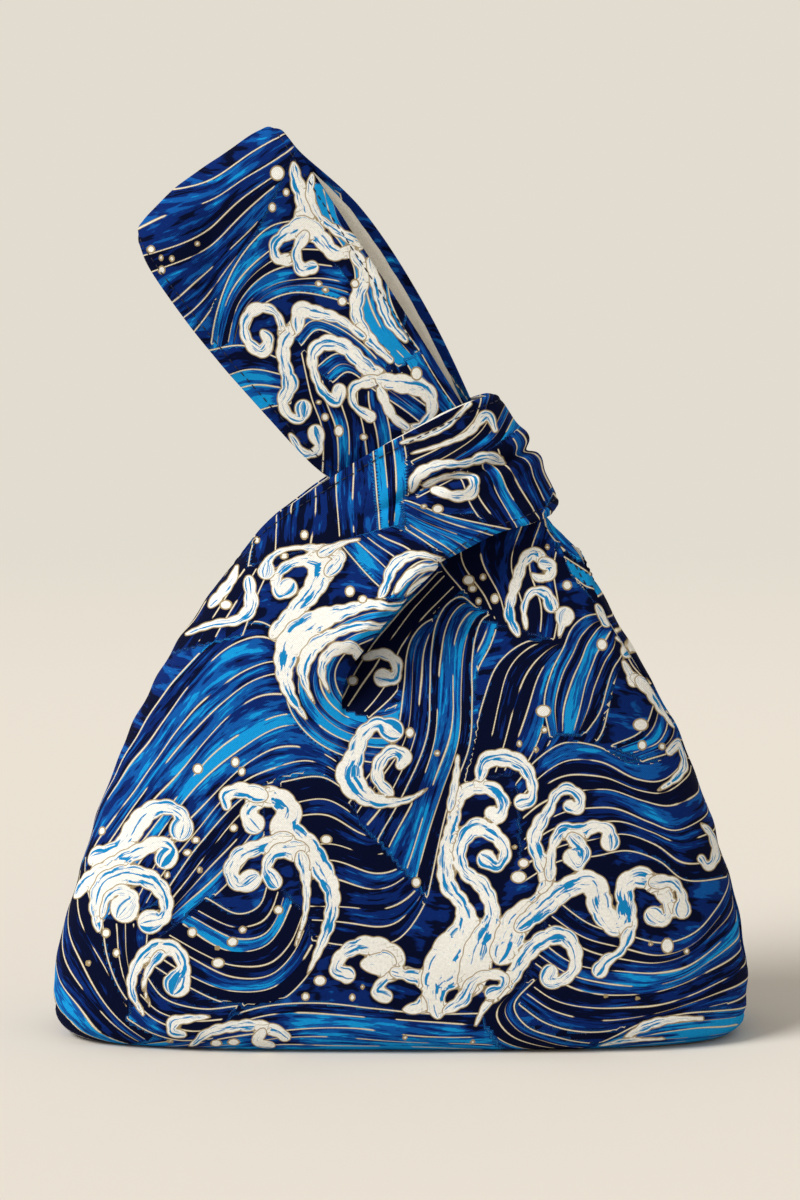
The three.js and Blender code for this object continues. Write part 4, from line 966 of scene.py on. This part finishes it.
def drawn_back(panel, points, free_by, sewn_by):
    """Points with the edges moved within the cloth: free ones out and sewn ones in, by an amount each."""
    top, left, right = panel.top, panel.left, panel.right
    inland = {"left_side": left[:top + 1, 1], "right_side": right[:top + 1, -2], "band_fold": left[-2],
              "long_fold": right[-2], "bottom": np.concatenate([left[1], right[1, 1:]]),
              "band_arm": left[top:, 1], "band_mouth": left[top:, -2],
              "long_mouth": right[top:, 1], "long_arm": right[top:, -2]}
    move = np.zeros_like(points)
    for lines, amount in ((panel.free, -free_by), (panel.sewn, sewn_by)):
        for name, line in lines.items():
            way = points[inland[name]] - points[line]
            more = 1
            if name == "band_arm":
                reached = smoothstep(0.35, 0.6, np.linspace(0, 1, len(line)))
                more += (LINING_SHOWS_BAND / LINING_SHOWS - 1) * reached[:, None]
            move[line] += way / np.linalg.norm(way, axis=1, keepdims=True) * amount * more
    return points + move


def lengths_of_rows(grid):
    return np.linalg.norm(np.diff(grid, axis=1), axis=2).sum(axis=1)


def hemmed(panel, values):
    """Values for a lining that stops short of the back handle's right edge, where print is turned in."""
    out = values.copy()
    if panel.side == FRONT:
        return out
    grid, top = panel.right, panel.top
    rows, columns = grid.shape
    row, column = np.arange(top, rows), np.arange(columns)
    fade = smoothstep(0, 30, row - top) * (1 - smoothstep(rows - 9, rows - 1, row))
    span = lengths_of_rows(panel.points[grid[top:]])
    at = column[None, :] * (1 - fade[:, None] * HEM_TURNED / span[:, None])
    low = np.minimum(at.astype(int), columns - 2)
    share = (at - low)[..., None]
    ids = grid[top:]
    first, second = np.take_along_axis(ids, low, 1), np.take_along_axis(ids, low + 1, 1)
    out[ids] = values[first] * (1 - share) + values[second] * share
    return out


def layer(name, panel, outer, inner, outer_step, fields=None):
    """One closed layer of cloth; its hidden side has every third point."""
    outside, inside = panel.quads(outer_step), panel.quads(INNER_STEP)
    kept, kept_inside = np.unique(outside), np.unique(inside)
    at = np.full(len(panel.points), -1)
    at[kept] = np.arange(len(kept))
    at_inside = np.full(len(panel.points), -1)
    at_inside[kept_inside] = len(kept) + np.arange(len(kept_inside))
    faces = at[outside].tolist() + at_inside[inside[:, ::-1]].tolist()
    rim = panel.rim()
    rim = np.append(rim, rim[0])
    for start in range(0, len(rim) - 1, INNER_STEP):
        stretch = rim[start:start + INNER_STEP + 1:outer_step]
        faces.append(at[stretch[::-1]].tolist() + at_inside[stretch[[0, -1]]].tolist())
    both = np.concatenate([kept, kept_inside])
    carried = {key: values[both] for key, values in (fields or {}).items()}
    return make_piece(name, np.concatenate([outer[kept], inner[kept_inside]]), faces, carried)


def seam_path(points, normals, rows):
    """The line at the stitches' distance from an edge; each row of the net starts at the edge."""
    path = []
    for row in rows:
        reach = lengths(points[row])
        path.append([np.interp(STITCH_INSET, reach, column[row]) for column in (*points.T, *normals.T)])
    return np.array(path)


def stitching(panel, points, normals):
    """Topstitches along the four free edges, each a short bowed length of thread."""
    left, right, top, within = panel.left, panel.right, panel.top, 16
    sides = (left[top:, :within], left[top:, :-within - 1:-1],
             right[top:, :within], right[top:, :-within - 1:-1])
    ring = np.linspace(0, 2 * math.pi, 6, endpoint=False)
    shares = [0, 0.14, 0.5, 0.86, 1]
    widths, lifts = [0.5, 0.9, 1, 0.9, 0.5], [-0.2, 0.06, 0.16, 0.06, -0.2]  # thin and sunk at both ends
    spots, faces = [], []
    for rows in sides:
        path = seam_path(points, normals, rows)
        reach = lengths(path[:, :3])
        for start in np.arange(2, reach[-1] - STITCH_LENGTH - 1, STITCH_PITCH):
            base = sum(len(s) for s in spots)
            rings = []
            for share, width, lift in zip(shares, widths, lifts):
                at = start + share * STITCH_LENGTH
                spot, normal = np.array([np.interp(at, reach, c) for c in path.T]).reshape(2, 3)
                ahead = np.array([np.interp(at + 0.5, reach, c) - np.interp(at - 0.5, reach, c)
                                  for c in path[:, :3].T])
                aside = np.cross(ahead, normal)
                aside /= np.linalg.norm(aside)
                size = STITCH_RADIUS * width
                round_it = np.cos(ring)[:, None] * aside + np.sin(ring)[:, None] * normal
                rings.append(spot + normal * lift + size * round_it)
            spots.append(np.concatenate(rings))
            count = len(ring)
            for i in range(len(shares) - 1):
                for k in range(count):
                    a, b = base + i * count + k, base + i * count + (k + 1) % count
                    faces.append([a, b, b + count, a + count])
            faces.append([base + k for k in reversed(range(count))])
            faces.append([base + (len(shares) - 1) * count + k for k in range(count)])
    return np.concatenate(spots), faces


# Materials: colours are sRGB hex values, lengths millimetres, but metres on the floor
NAVY, ROYAL, BLUE, AZURE = "#050b28", "#0a2668", "#1054a0", "#1592d4"
CREAM, TAN, FOAM_WHITE, FOAM_BLUE = "#e4dcc4", "#a08c66", "#f0efe8", "#1583c0"
LINING_SHADED, LINING_PALE, THREAD_DARK, THREAD_LIGHT = "#dfd9cc", "#efebe1", "#070a1c", "#141a3c"
FLOOR, BACKGROUND, ROOM = "#e0dad0", "#e2dcd0", "#fff9f0"
FLOOR_FADES_FROM, FLOOR_FADES_TO, FLOOR_RADIUS = 0.6, 2.2, 9.0
THREAD_SPACING = 0.85  # the real cloth has about 0.45, too fine to show


def colour(code):
    """A linear colour from an sRGB hex value."""
    parts = [int(code[i:i + 2], 16) / 255 for i in (1, 3, 5)]
    return tuple(c / 12.92 if c <= 0.04045 else ((c + 0.055) / 1.055) ** 2.4 for c in parts) + (1.0,)


def add(tree, kind, settings=None, inputs=None):
    """Adds a node with its settings; an input is a value or another node's output."""
    node = tree.nodes.new("ShaderNode" + kind)
    for key, value in (settings or {}).items():
        setattr(node, key, value)
    for key, value in (inputs or {}).items():
        if isinstance(value, bpy.types.NodeSocket):
            tree.links.new(value, node.inputs[key])
        else:
            node.inputs[key].default_value = value
    return node


def material(name):
    made = bpy.data.materials.new(name)
    made.use_nodes = True
    made.node_tree.nodes.clear()
    return made, made.node_tree


def woven(tree, across, up, strength):
    """Bump of a plain weave, from places on the cloth in millimetres."""
    turn = 2 * math.pi / THREAD_SPACING
    over = add(tree, "Math", {"operation": "MULTIPLY"}, {0: across, 1: turn})
    down = add(tree, "Math", {"operation": "MULTIPLY"}, {0: up, 1: turn})
    sine = add(tree, "Math", {"operation": "SINE"}, {0: over.outputs[0]})
    cosine = add(tree, "Math", {"operation": "SINE"}, {0: down.outputs[0]})
    crossed = add(tree, "Math", {"operation": "MULTIPLY"}, {0: sine.outputs[0], 1: cosine.outputs[0]})
    place = add(tree, "CombineXYZ", inputs={0: across, 1: up})
    slubs = add(tree, "TexNoise",
                inputs={"Vector": place.outputs[0], "Scale": 0.9, "Detail": 3.0, "Roughness": 0.6})
    height = add(tree, "Math", {"operation": "MULTIPLY_ADD"},
                 {0: slubs.outputs["Fac"], 1: 1.4, 2: crossed.outputs[0]})
    return add(tree, "Bump",
               inputs={"Strength": strength, "Distance": 0.00012, "Height": height.outputs[0]})


def printed_cotton():
    """Plain-woven cotton with matt ink in its threads, printed by roller and a little uneven."""
    made, tree = material("printed_cotton")
    ink = {key: add(tree, "Attribute", {"attribute_name": key}).outputs["Fac"]
           for key in ("swell", "spacing", "along", "tone", "border", "ending", "foam", "outline", "veil",
                       "veil_along", "drop", "cloth_across", "cloth_up")}

    # Distance to the nearest line of a swell, in millimetres
    band = add(tree, "Math", {"operation": "FLOOR"}, {0: ink["swell"]})
    share = add(tree, "Math", {"operation": "PINGPONG"}, {0: ink["swell"], 1: 0.5})
    line = add(tree, "Math", {"operation": "MULTIPLY"}, {0: share.outputs[0], 1: ink["spacing"]})

    # Brush strokes along each band: a tone for the band and streaks within it
    chance = add(tree, "TexWhiteNoise", {"noise_dimensions": "1D"}, {"W": band.outputs[0]})
    fine = add(tree, "Math", {"operation": "MULTIPLY"}, {0: ink["swell"], 1: 3.4})
    slow = add(tree, "Math", {"operation": "MULTIPLY"}, {0: ink["along"], 1: 0.055})
    brush = add(tree, "CombineXYZ", inputs={0: fine.outputs[0], 1: slow.outputs[0], 2: band.outputs[0]})
    streaks = add(tree, "TexNoise",
                  inputs={"Vector": brush.outputs[0], "Scale": 0.9, "Detail": 3.0, "Roughness": 0.62})
    lean = add(tree, "Math", {"operation": "MULTIPLY_ADD"},
               {0: chance.outputs[0], 1: 0.42, 2: ink["tone"]})
    shaded = add(tree, "MapRange", inputs={"Value": ink["foam"], "From Min": 0.5, "From Max": 5.0,
                                           "To Min": -0.16, "To Max": 0.0})
    leaned = add(tree, "Math", {"operation": "ADD"}, {0: lean.outputs[0], 1: shaded.outputs[0]})
    level = add(tree, "Math", {"operation": "ADD"}, {0: streaks.outputs["Fac"], 1: leaned.outputs[0]})
    blues = add(tree, "ValToRGB", inputs={"Fac": level.outputs[0]})
    ramp = blues.color_ramp
    stops = [(0.0, NAVY), (0.57, NAVY), (0.61, ROYAL), (0.70, ROYAL), (0.74, BLUE), (0.82, BLUE),
             (0.855, AZURE)]
    while len(ramp.elements) < len(stops):
        ramp.elements.new(0.5)
    for element, (at, code) in zip(ramp.elements, stops):
        element.position = at
        element.color = colour(code)

    # Lines that begin and end, cream in the middle and tan at their rims
    number = add(tree, "Math", {"operation": "ROUND"}, {0: ink["swell"]})
    place = add(tree, "CombineXYZ", inputs={0: slow.outputs[0], 1: number.outputs[0]})
    breaks = add(tree, "TexNoise", {"noise_dimensions": "2D"},
                 {"Vector": place.outputs[0], "Scale": 1.0, "Detail": 0.0})
    thin = add(tree, "MapRange", inputs={"Value": breaks.outputs["Fac"], "From Min": 0.32, "From Max": 0.40,
                                        "To Min": 0.6, "To Max": 0.0})
    curved = add(tree, "Math", {"operation": "ABSOLUTE"}, {0: ink["border"]})
    beyond = add(tree, "MapRange", inputs={"Value": ink["ending"], "From Min": 0.9, "From Max": 1.3})
    edge = add(tree, "Math", {"operation": "ADD"}, {0: curved.outputs[0], 1: beyond.outputs[0]})
    ending = add(tree, "MapRange", inputs={"Value": ink["ending"], "From Min": 1.2, "From Max": 1.8,
                                          "To Min": 0.6, "To Max": 0.0})
    crowded = add(tree, "MapRange", inputs={"Value": ink["spacing"], "From Min": 1.4, "From Max": 3.6,
                                           "To Min": 0.4, "To Max": 0.0})
    faded = add(tree, "Math", {"operation": "MAXIMUM"}, {0: ending.outputs[0], 1: crowded.outputs[0]})
    thinner = add(tree, "Math", {"operation": "ADD"}, {0: thin.outputs[0], 1: faded.outputs[0]})
    drawn = add(tree, "Math", {"operation": "ADD"}, {0: line.outputs[0], 1: thinner.outputs[0]})
    border = add(tree, "Math", {"operation": "MINIMUM"}, {0: drawn.outputs[0], 1: edge.outputs[0]})
    rims = add(tree, "MapRange", inputs={"Value": border.outputs[0], "From Min": 0.24, "From Max": 0.38,
                                         "To Min": 1.0, "To Max": 0.0})
    cores = add(tree, "MapRange", inputs={"Value": border.outputs[0], "From Min": 0.10, "From Max": 0.24,
                                          "To Min": 1.0, "To Max": 0.0})
    inked = add(tree, "Mix", {"data_type": "RGBA"},
                {0: rims.outputs[0], 6: blues.outputs[0], 7: colour(TAN)})
    lined = add(tree, "Mix", {"data_type": "RGBA"},
                {0: cores.outputs[0], 6: inked.outputs[2], 7: colour(CREAM)})

    # Foam, its blue streaks and its tan outline
    inside = add(tree, "MapRange", inputs={"Value": ink["foam"], "From Min": -0.1, "From Max": 0.12,
                                           "To Min": 1.0, "To Max": 0.0})
    veil_slow = add(tree, "Math", {"operation": "MULTIPLY"}, {0: ink["veil_along"], 1: 0.07})
    veil_place = add(tree, "CombineXYZ", inputs={0: ink["veil"], 1: veil_slow.outputs[0]})
    veils = add(tree, "TexNoise",
                inputs={"Vector": veil_place.outputs[0], "Scale": 1.0, "Detail": 3.0, "Roughness": 0.6})
    washed = add(tree, "MapRange",
                 inputs={"Value": veils.outputs["Fac"], "From Min": 0.525, "From Max": 0.56})
    deep = add(tree, "MapRange", inputs={"Value": ink["outline"], "From Min": -0.75, "From Max": -0.45,
                                         "To Min": 1.0, "To Max": 0.0})
    streak = add(tree, "Math", {"operation": "MULTIPLY"}, {0: washed.outputs[0], 1: deep.outputs[0]})
    foam = add(tree, "Mix", {"data_type": "RGBA"},
               {0: streak.outputs[0], 6: colour(FOAM_WHITE), 7: colour(FOAM_BLUE)})
    frothed = add(tree, "Mix", {"data_type": "RGBA"},
                  {0: inside.outputs[0], 6: lined.outputs[2], 7: foam.outputs[2]})
    rim = add(tree, "Math", {"operation": "ABSOLUTE"}, {0: ink["outline"]})
    outline = add(tree, "MapRange", inputs={"Value": rim.outputs[0], "From Min": 0.12, "From Max": 0.30,
                                            "To Min": 0.9, "To Max": 0.0})
    outlined = add(tree, "Mix", {"data_type": "RGBA"},
                   {0: outline.outputs[0], 6: frothed.outputs[2], 7: colour(TAN)})

    # Drops with tan rims
    dropped = add(tree, "MapRange", inputs={"Value": ink["drop"], "From Min": 0.15, "From Max": 0.3,
                                            "To Min": 1.0, "To Max": 0.0})
    middle_of = add(tree, "MapRange", inputs={"Value": ink["drop"], "From Min": -0.45, "From Max": -0.2,
                                              "To Min": 1.0, "To Max": 0.0})
    ringed = add(tree, "Mix", {"data_type": "RGBA"},
                 {0: dropped.outputs[0], 6: outlined.outputs[2], 7: colour(TAN)})
    spotted = add(tree, "Mix", {"data_type": "RGBA"},
                  {0: middle_of.outputs[0], 6: ringed.outputs[2], 7: colour(FOAM_WHITE)})

    # Uneven ink
    where = add(tree, "CombineXYZ", inputs={0: ink["cloth_across"], 1: ink["cloth_up"]})
    patches = add(tree, "TexNoise",
                  inputs={"Vector": where.outputs[0], "Scale": 1.1, "Detail": 4.0, "Roughness": 0.7})
    shade = add(tree, "MapRange", inputs={"Value": patches.outputs["Fac"], "From Min": 0.3, "From Max": 0.7,
                                          "To Min": 0.86, "To Max": 1.12})
    worn = add(tree, "VectorMath", {"operation": "SCALE"},
               {0: spotted.outputs[2], "Scale": shade.outputs[0]})
    weave = woven(tree, ink["cloth_across"], ink["cloth_up"], 0.6)
    cloth = add(tree, "BsdfPrincipled", inputs={"Base Color": worn.outputs[0], "Normal": weave.outputs[0],
                                                "Roughness": 0.85, "Specular IOR Level": 0.04})
    add(tree, "OutputMaterial", inputs={"Surface": cloth.outputs[0]})
    return made


def plain_cotton():
    """Unbleached plain cotton lining: warm white, matt, with a fine even weave."""
    made, tree = material("plain_cotton")
    place = add(tree, "TexCoord")
    size = add(tree, "VectorMath", {"operation": "SCALE"},
               {0: place.outputs["Object"], "Scale": 1000.0})
    parts = add(tree, "SeparateXYZ", inputs={0: size.outputs[0]})
    patches = add(tree, "TexNoise", inputs={"Vector": size.outputs[0], "Scale": 0.12, "Detail": 3.0})
    tint = add(tree, "Mix", {"data_type": "RGBA"},
               {0: patches.outputs["Fac"], 6: colour(LINING_SHADED), 7: colour(LINING_PALE)})
    weave = woven(tree, parts.outputs["X"], parts.outputs["Z"], 0.5)
    cloth = add(tree, "BsdfPrincipled", inputs={"Base Color": tint.outputs[2], "Normal": weave.outputs[0],
                                                "Roughness": 0.85, "Specular IOR Level": 0.25})
    add(tree, "OutputMaterial", inputs={"Surface": cloth.outputs[0]})
    return made


def cotton_thread():
    """Twisted sewing cotton: dark and a little smoother than the cloth, with a fine slanting twist."""
    made, tree = material("cotton_thread")
    place = add(tree, "TexCoord")
    size = add(tree, "VectorMath", {"operation": "SCALE"},
               {0: place.outputs["Object"], "Scale": 1000.0})
    twist = add(tree, "TexWave", {"bands_direction": "DIAGONAL"},
                {"Vector": size.outputs[0], "Scale": 1.2, "Distortion": 0.5})
    bump = add(tree, "Bump",
               inputs={"Strength": 0.5, "Distance": 0.0001, "Height": twist.outputs["Fac"]})
    tint = add(tree, "Mix", {"data_type": "RGBA"},
               {0: twist.outputs["Fac"], 6: colour(THREAD_DARK), 7: colour(THREAD_LIGHT)})
    thread = add(tree, "BsdfPrincipled", inputs={"Base Color": tint.outputs[2], "Normal": bump.outputs[0],
                                                 "Roughness": 0.6, "Specular IOR Level": 0.35})
    add(tree, "OutputMaterial", inputs={"Surface": thread.outputs[0]})
    return made


def pale_floor():
    """Matt paper that takes the bag's shadow and ends in the colour of the background."""
    made, tree = material("pale_floor")
    place = add(tree, "NewGeometry")
    reach = add(tree, "VectorMath", {"operation": "LENGTH"}, {0: place.outputs["Position"]})
    far = add(tree, "MapRange", {"interpolation_type": "SMOOTHSTEP"},
              {"Value": reach.outputs["Value"], "From Min": FLOOR_FADES_FROM, "From Max": FLOOR_FADES_TO})
    paper = add(tree, "BsdfDiffuse", inputs={"Color": colour(FLOOR)})
    glow = add(tree, "Emission", inputs={"Color": colour(BACKGROUND)})
    both = add(tree, "MixShader", inputs={0: far.outputs[0], 1: paper.outputs[0], 2: glow.outputs[0]})
    add(tree, "OutputMaterial", inputs={"Surface": both.outputs[0]})
    return made


def build_bag():
    panels = [Panel(FRONT), Panel(BACK)]
    smooth = shared_normals(panels)
    for panel, normals in zip(panels, smooth):
        panel.places = np.zeros((len(panel.points), 2))
        near_side = panel.points * [1, -panel.side, 1]
        for grid, way in ((panel.right, 1), (panel.left, -1)):
            panel.places[grid] = unrolled(near_side[grid], panel.top, way)
        panel.raised = panel.points + normals * relief(panel)[:, None]
        panel.raised[:, 2] = np.maximum(panel.raised[:, 2], 0)
    for panel in panels:
        panel.points = panel.raised
    normals = shared_normals(panels)
    cloth, lining, thread = printed_cotton(), plain_cotton(), cotton_thread()
    pieces = []
    for panel, normal in zip(panels, normals):
        ink = {}
        for grid, zone in ((panel.right, ON_RIGHT), (panel.left, ON_LEFT)):
            ids = np.unique(grid)
            for key, values in printed(panel.places[ids], zone).items():
                ink.setdefault(key, np.zeros(len(panel.points)))[ids] = values
        ink["cloth_across"], ink["cloth_up"] = panel.places.T
        name = "front" if panel.side == FRONT else "back"
        outer = drawn_back(panel, panel.points, 0, SEAM_GAP / 2)
        depth = PRINT_THICKNESS
        printed_piece = layer(name + "_print", panel, outer, outer - normal * depth, 1, ink)
        skin = hemmed(panel, drawn_back(panel, panel.points, LINING_SHOWS, SEAM_GAP / 2))
        depth += LAYER_GAP
        under = hemmed(panel, normal)
        lining_piece = layer(name + "_lining", panel, skin - under * depth,
                             skin - under * (depth + LINING_THICKNESS), INNER_STEP)
        printed_piece.data.materials.append(cloth)
        lining_piece.data.materials.append(lining)
        spots, faces = stitching(panel, panel.points, normal)
        stitches = make_piece(name + "_topstitching", spots, faces)
        stitches.data.materials.append(thread)
        for piece, slot in ((printed_piece, "printed_cotton"), (lining_piece, "plain_lining"),
                            (stitches, "printed_cotton")):
            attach(piece, "root")
            pieces.append(piece)
        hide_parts(f"outer_{name}_panel")
        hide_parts(f"lining_{name}_panel")
    return pieces


build_bag()


def build_stage():
    count = 96
    turn = np.linspace(0, 2 * math.pi, count, endpoint=False)
    rings = [0.4, 1.0, 2.4, FLOOR_RADIUS]
    spots = [np.zeros((1, 3))]
    spots += [np.stack([r * np.cos(turn), r * np.sin(turn), 0 * turn], axis=1) for r in rings]
    faces = [[0, 1 + k, 1 + (k + 1) % count] for k in range(count)]
    for i in range(len(rings) - 1):
        for k in range(count):
            a, b = 1 + i * count + k, 1 + i * count + (k + 1) % count
            faces.append([a, a + count, b + count, b])
    floor = make_piece("floor", np.concatenate(spots) / MM, faces)
    floor.data.materials.append(pale_floor())


build_stage()


def build_camera():
    camera = bpy.data.cameras.new("camera")
    camera.sensor_fit, camera.sensor_height = "VERTICAL", SENSOR
    camera.lens = SENSOR * DISTANCE / FRAME_HEIGHT
    camera.shift_x = -1 / FRAME_PIXELS
    seat = bpy.data.objects.new("camera", camera)
    seat.location = (0, -DISTANCE * MM * math.cos(ELEVATION),
                     (AIM_HEIGHT + DISTANCE * math.sin(ELEVATION)) * MM)
    seat.rotation_euler = (math.pi / 2 - ELEVATION, 0, 0)
    bpy.context.collection.objects.link(seat)
    bpy.context.scene.camera = seat


# The key's softness, height and turn are in degrees.
KEY_STRENGTH, KEY_SOFTNESS, KEY_HEIGHT, KEY_TURN, ROOM_STRENGTH = 2.65, 26, 42, -60, 0.55


def build_light():
    sun = bpy.data.lights.new("window", "SUN")
    sun.energy, sun.angle = KEY_STRENGTH, math.radians(KEY_SOFTNESS)
    lamp = bpy.data.objects.new("window", sun)
    lamp.rotation_euler = (math.radians(90 - KEY_HEIGHT), 0, math.radians(KEY_TURN))
    bpy.context.collection.objects.link(lamp)
    world = bpy.data.worlds.new("soft_room")
    bpy.context.scene.world = world
    world.use_nodes = True
    tree = world.node_tree
    tree.nodes.clear()
    path = add(tree, "LightPath")
    seen = add(tree, "Math", {"operation": "MAXIMUM"},
               {0: path.outputs["Is Camera Ray"], 1: path.outputs["Is Glossy Ray"]})
    direct = add(tree, "Math", {"operation": "MAXIMUM"},
                 {0: seen.outputs[0], 1: path.outputs["Is Transmission Ray"]})
    room = add(tree, "Background", inputs={"Color": colour(ROOM), "Strength": ROOM_STRENGTH})
    behind = add(tree, "Background", inputs={"Color": colour(BACKGROUND), "Strength": 1.0})
    both = add(tree, "MixShader",
               inputs={0: direct.outputs[0], 1: room.outputs[0], 2: behind.outputs[0]})
    add(tree, "OutputWorld", inputs={"Surface": both.outputs[0]})


build_camera()
build_light()
bpy.context.scene.view_settings.view_transform = "Standard"
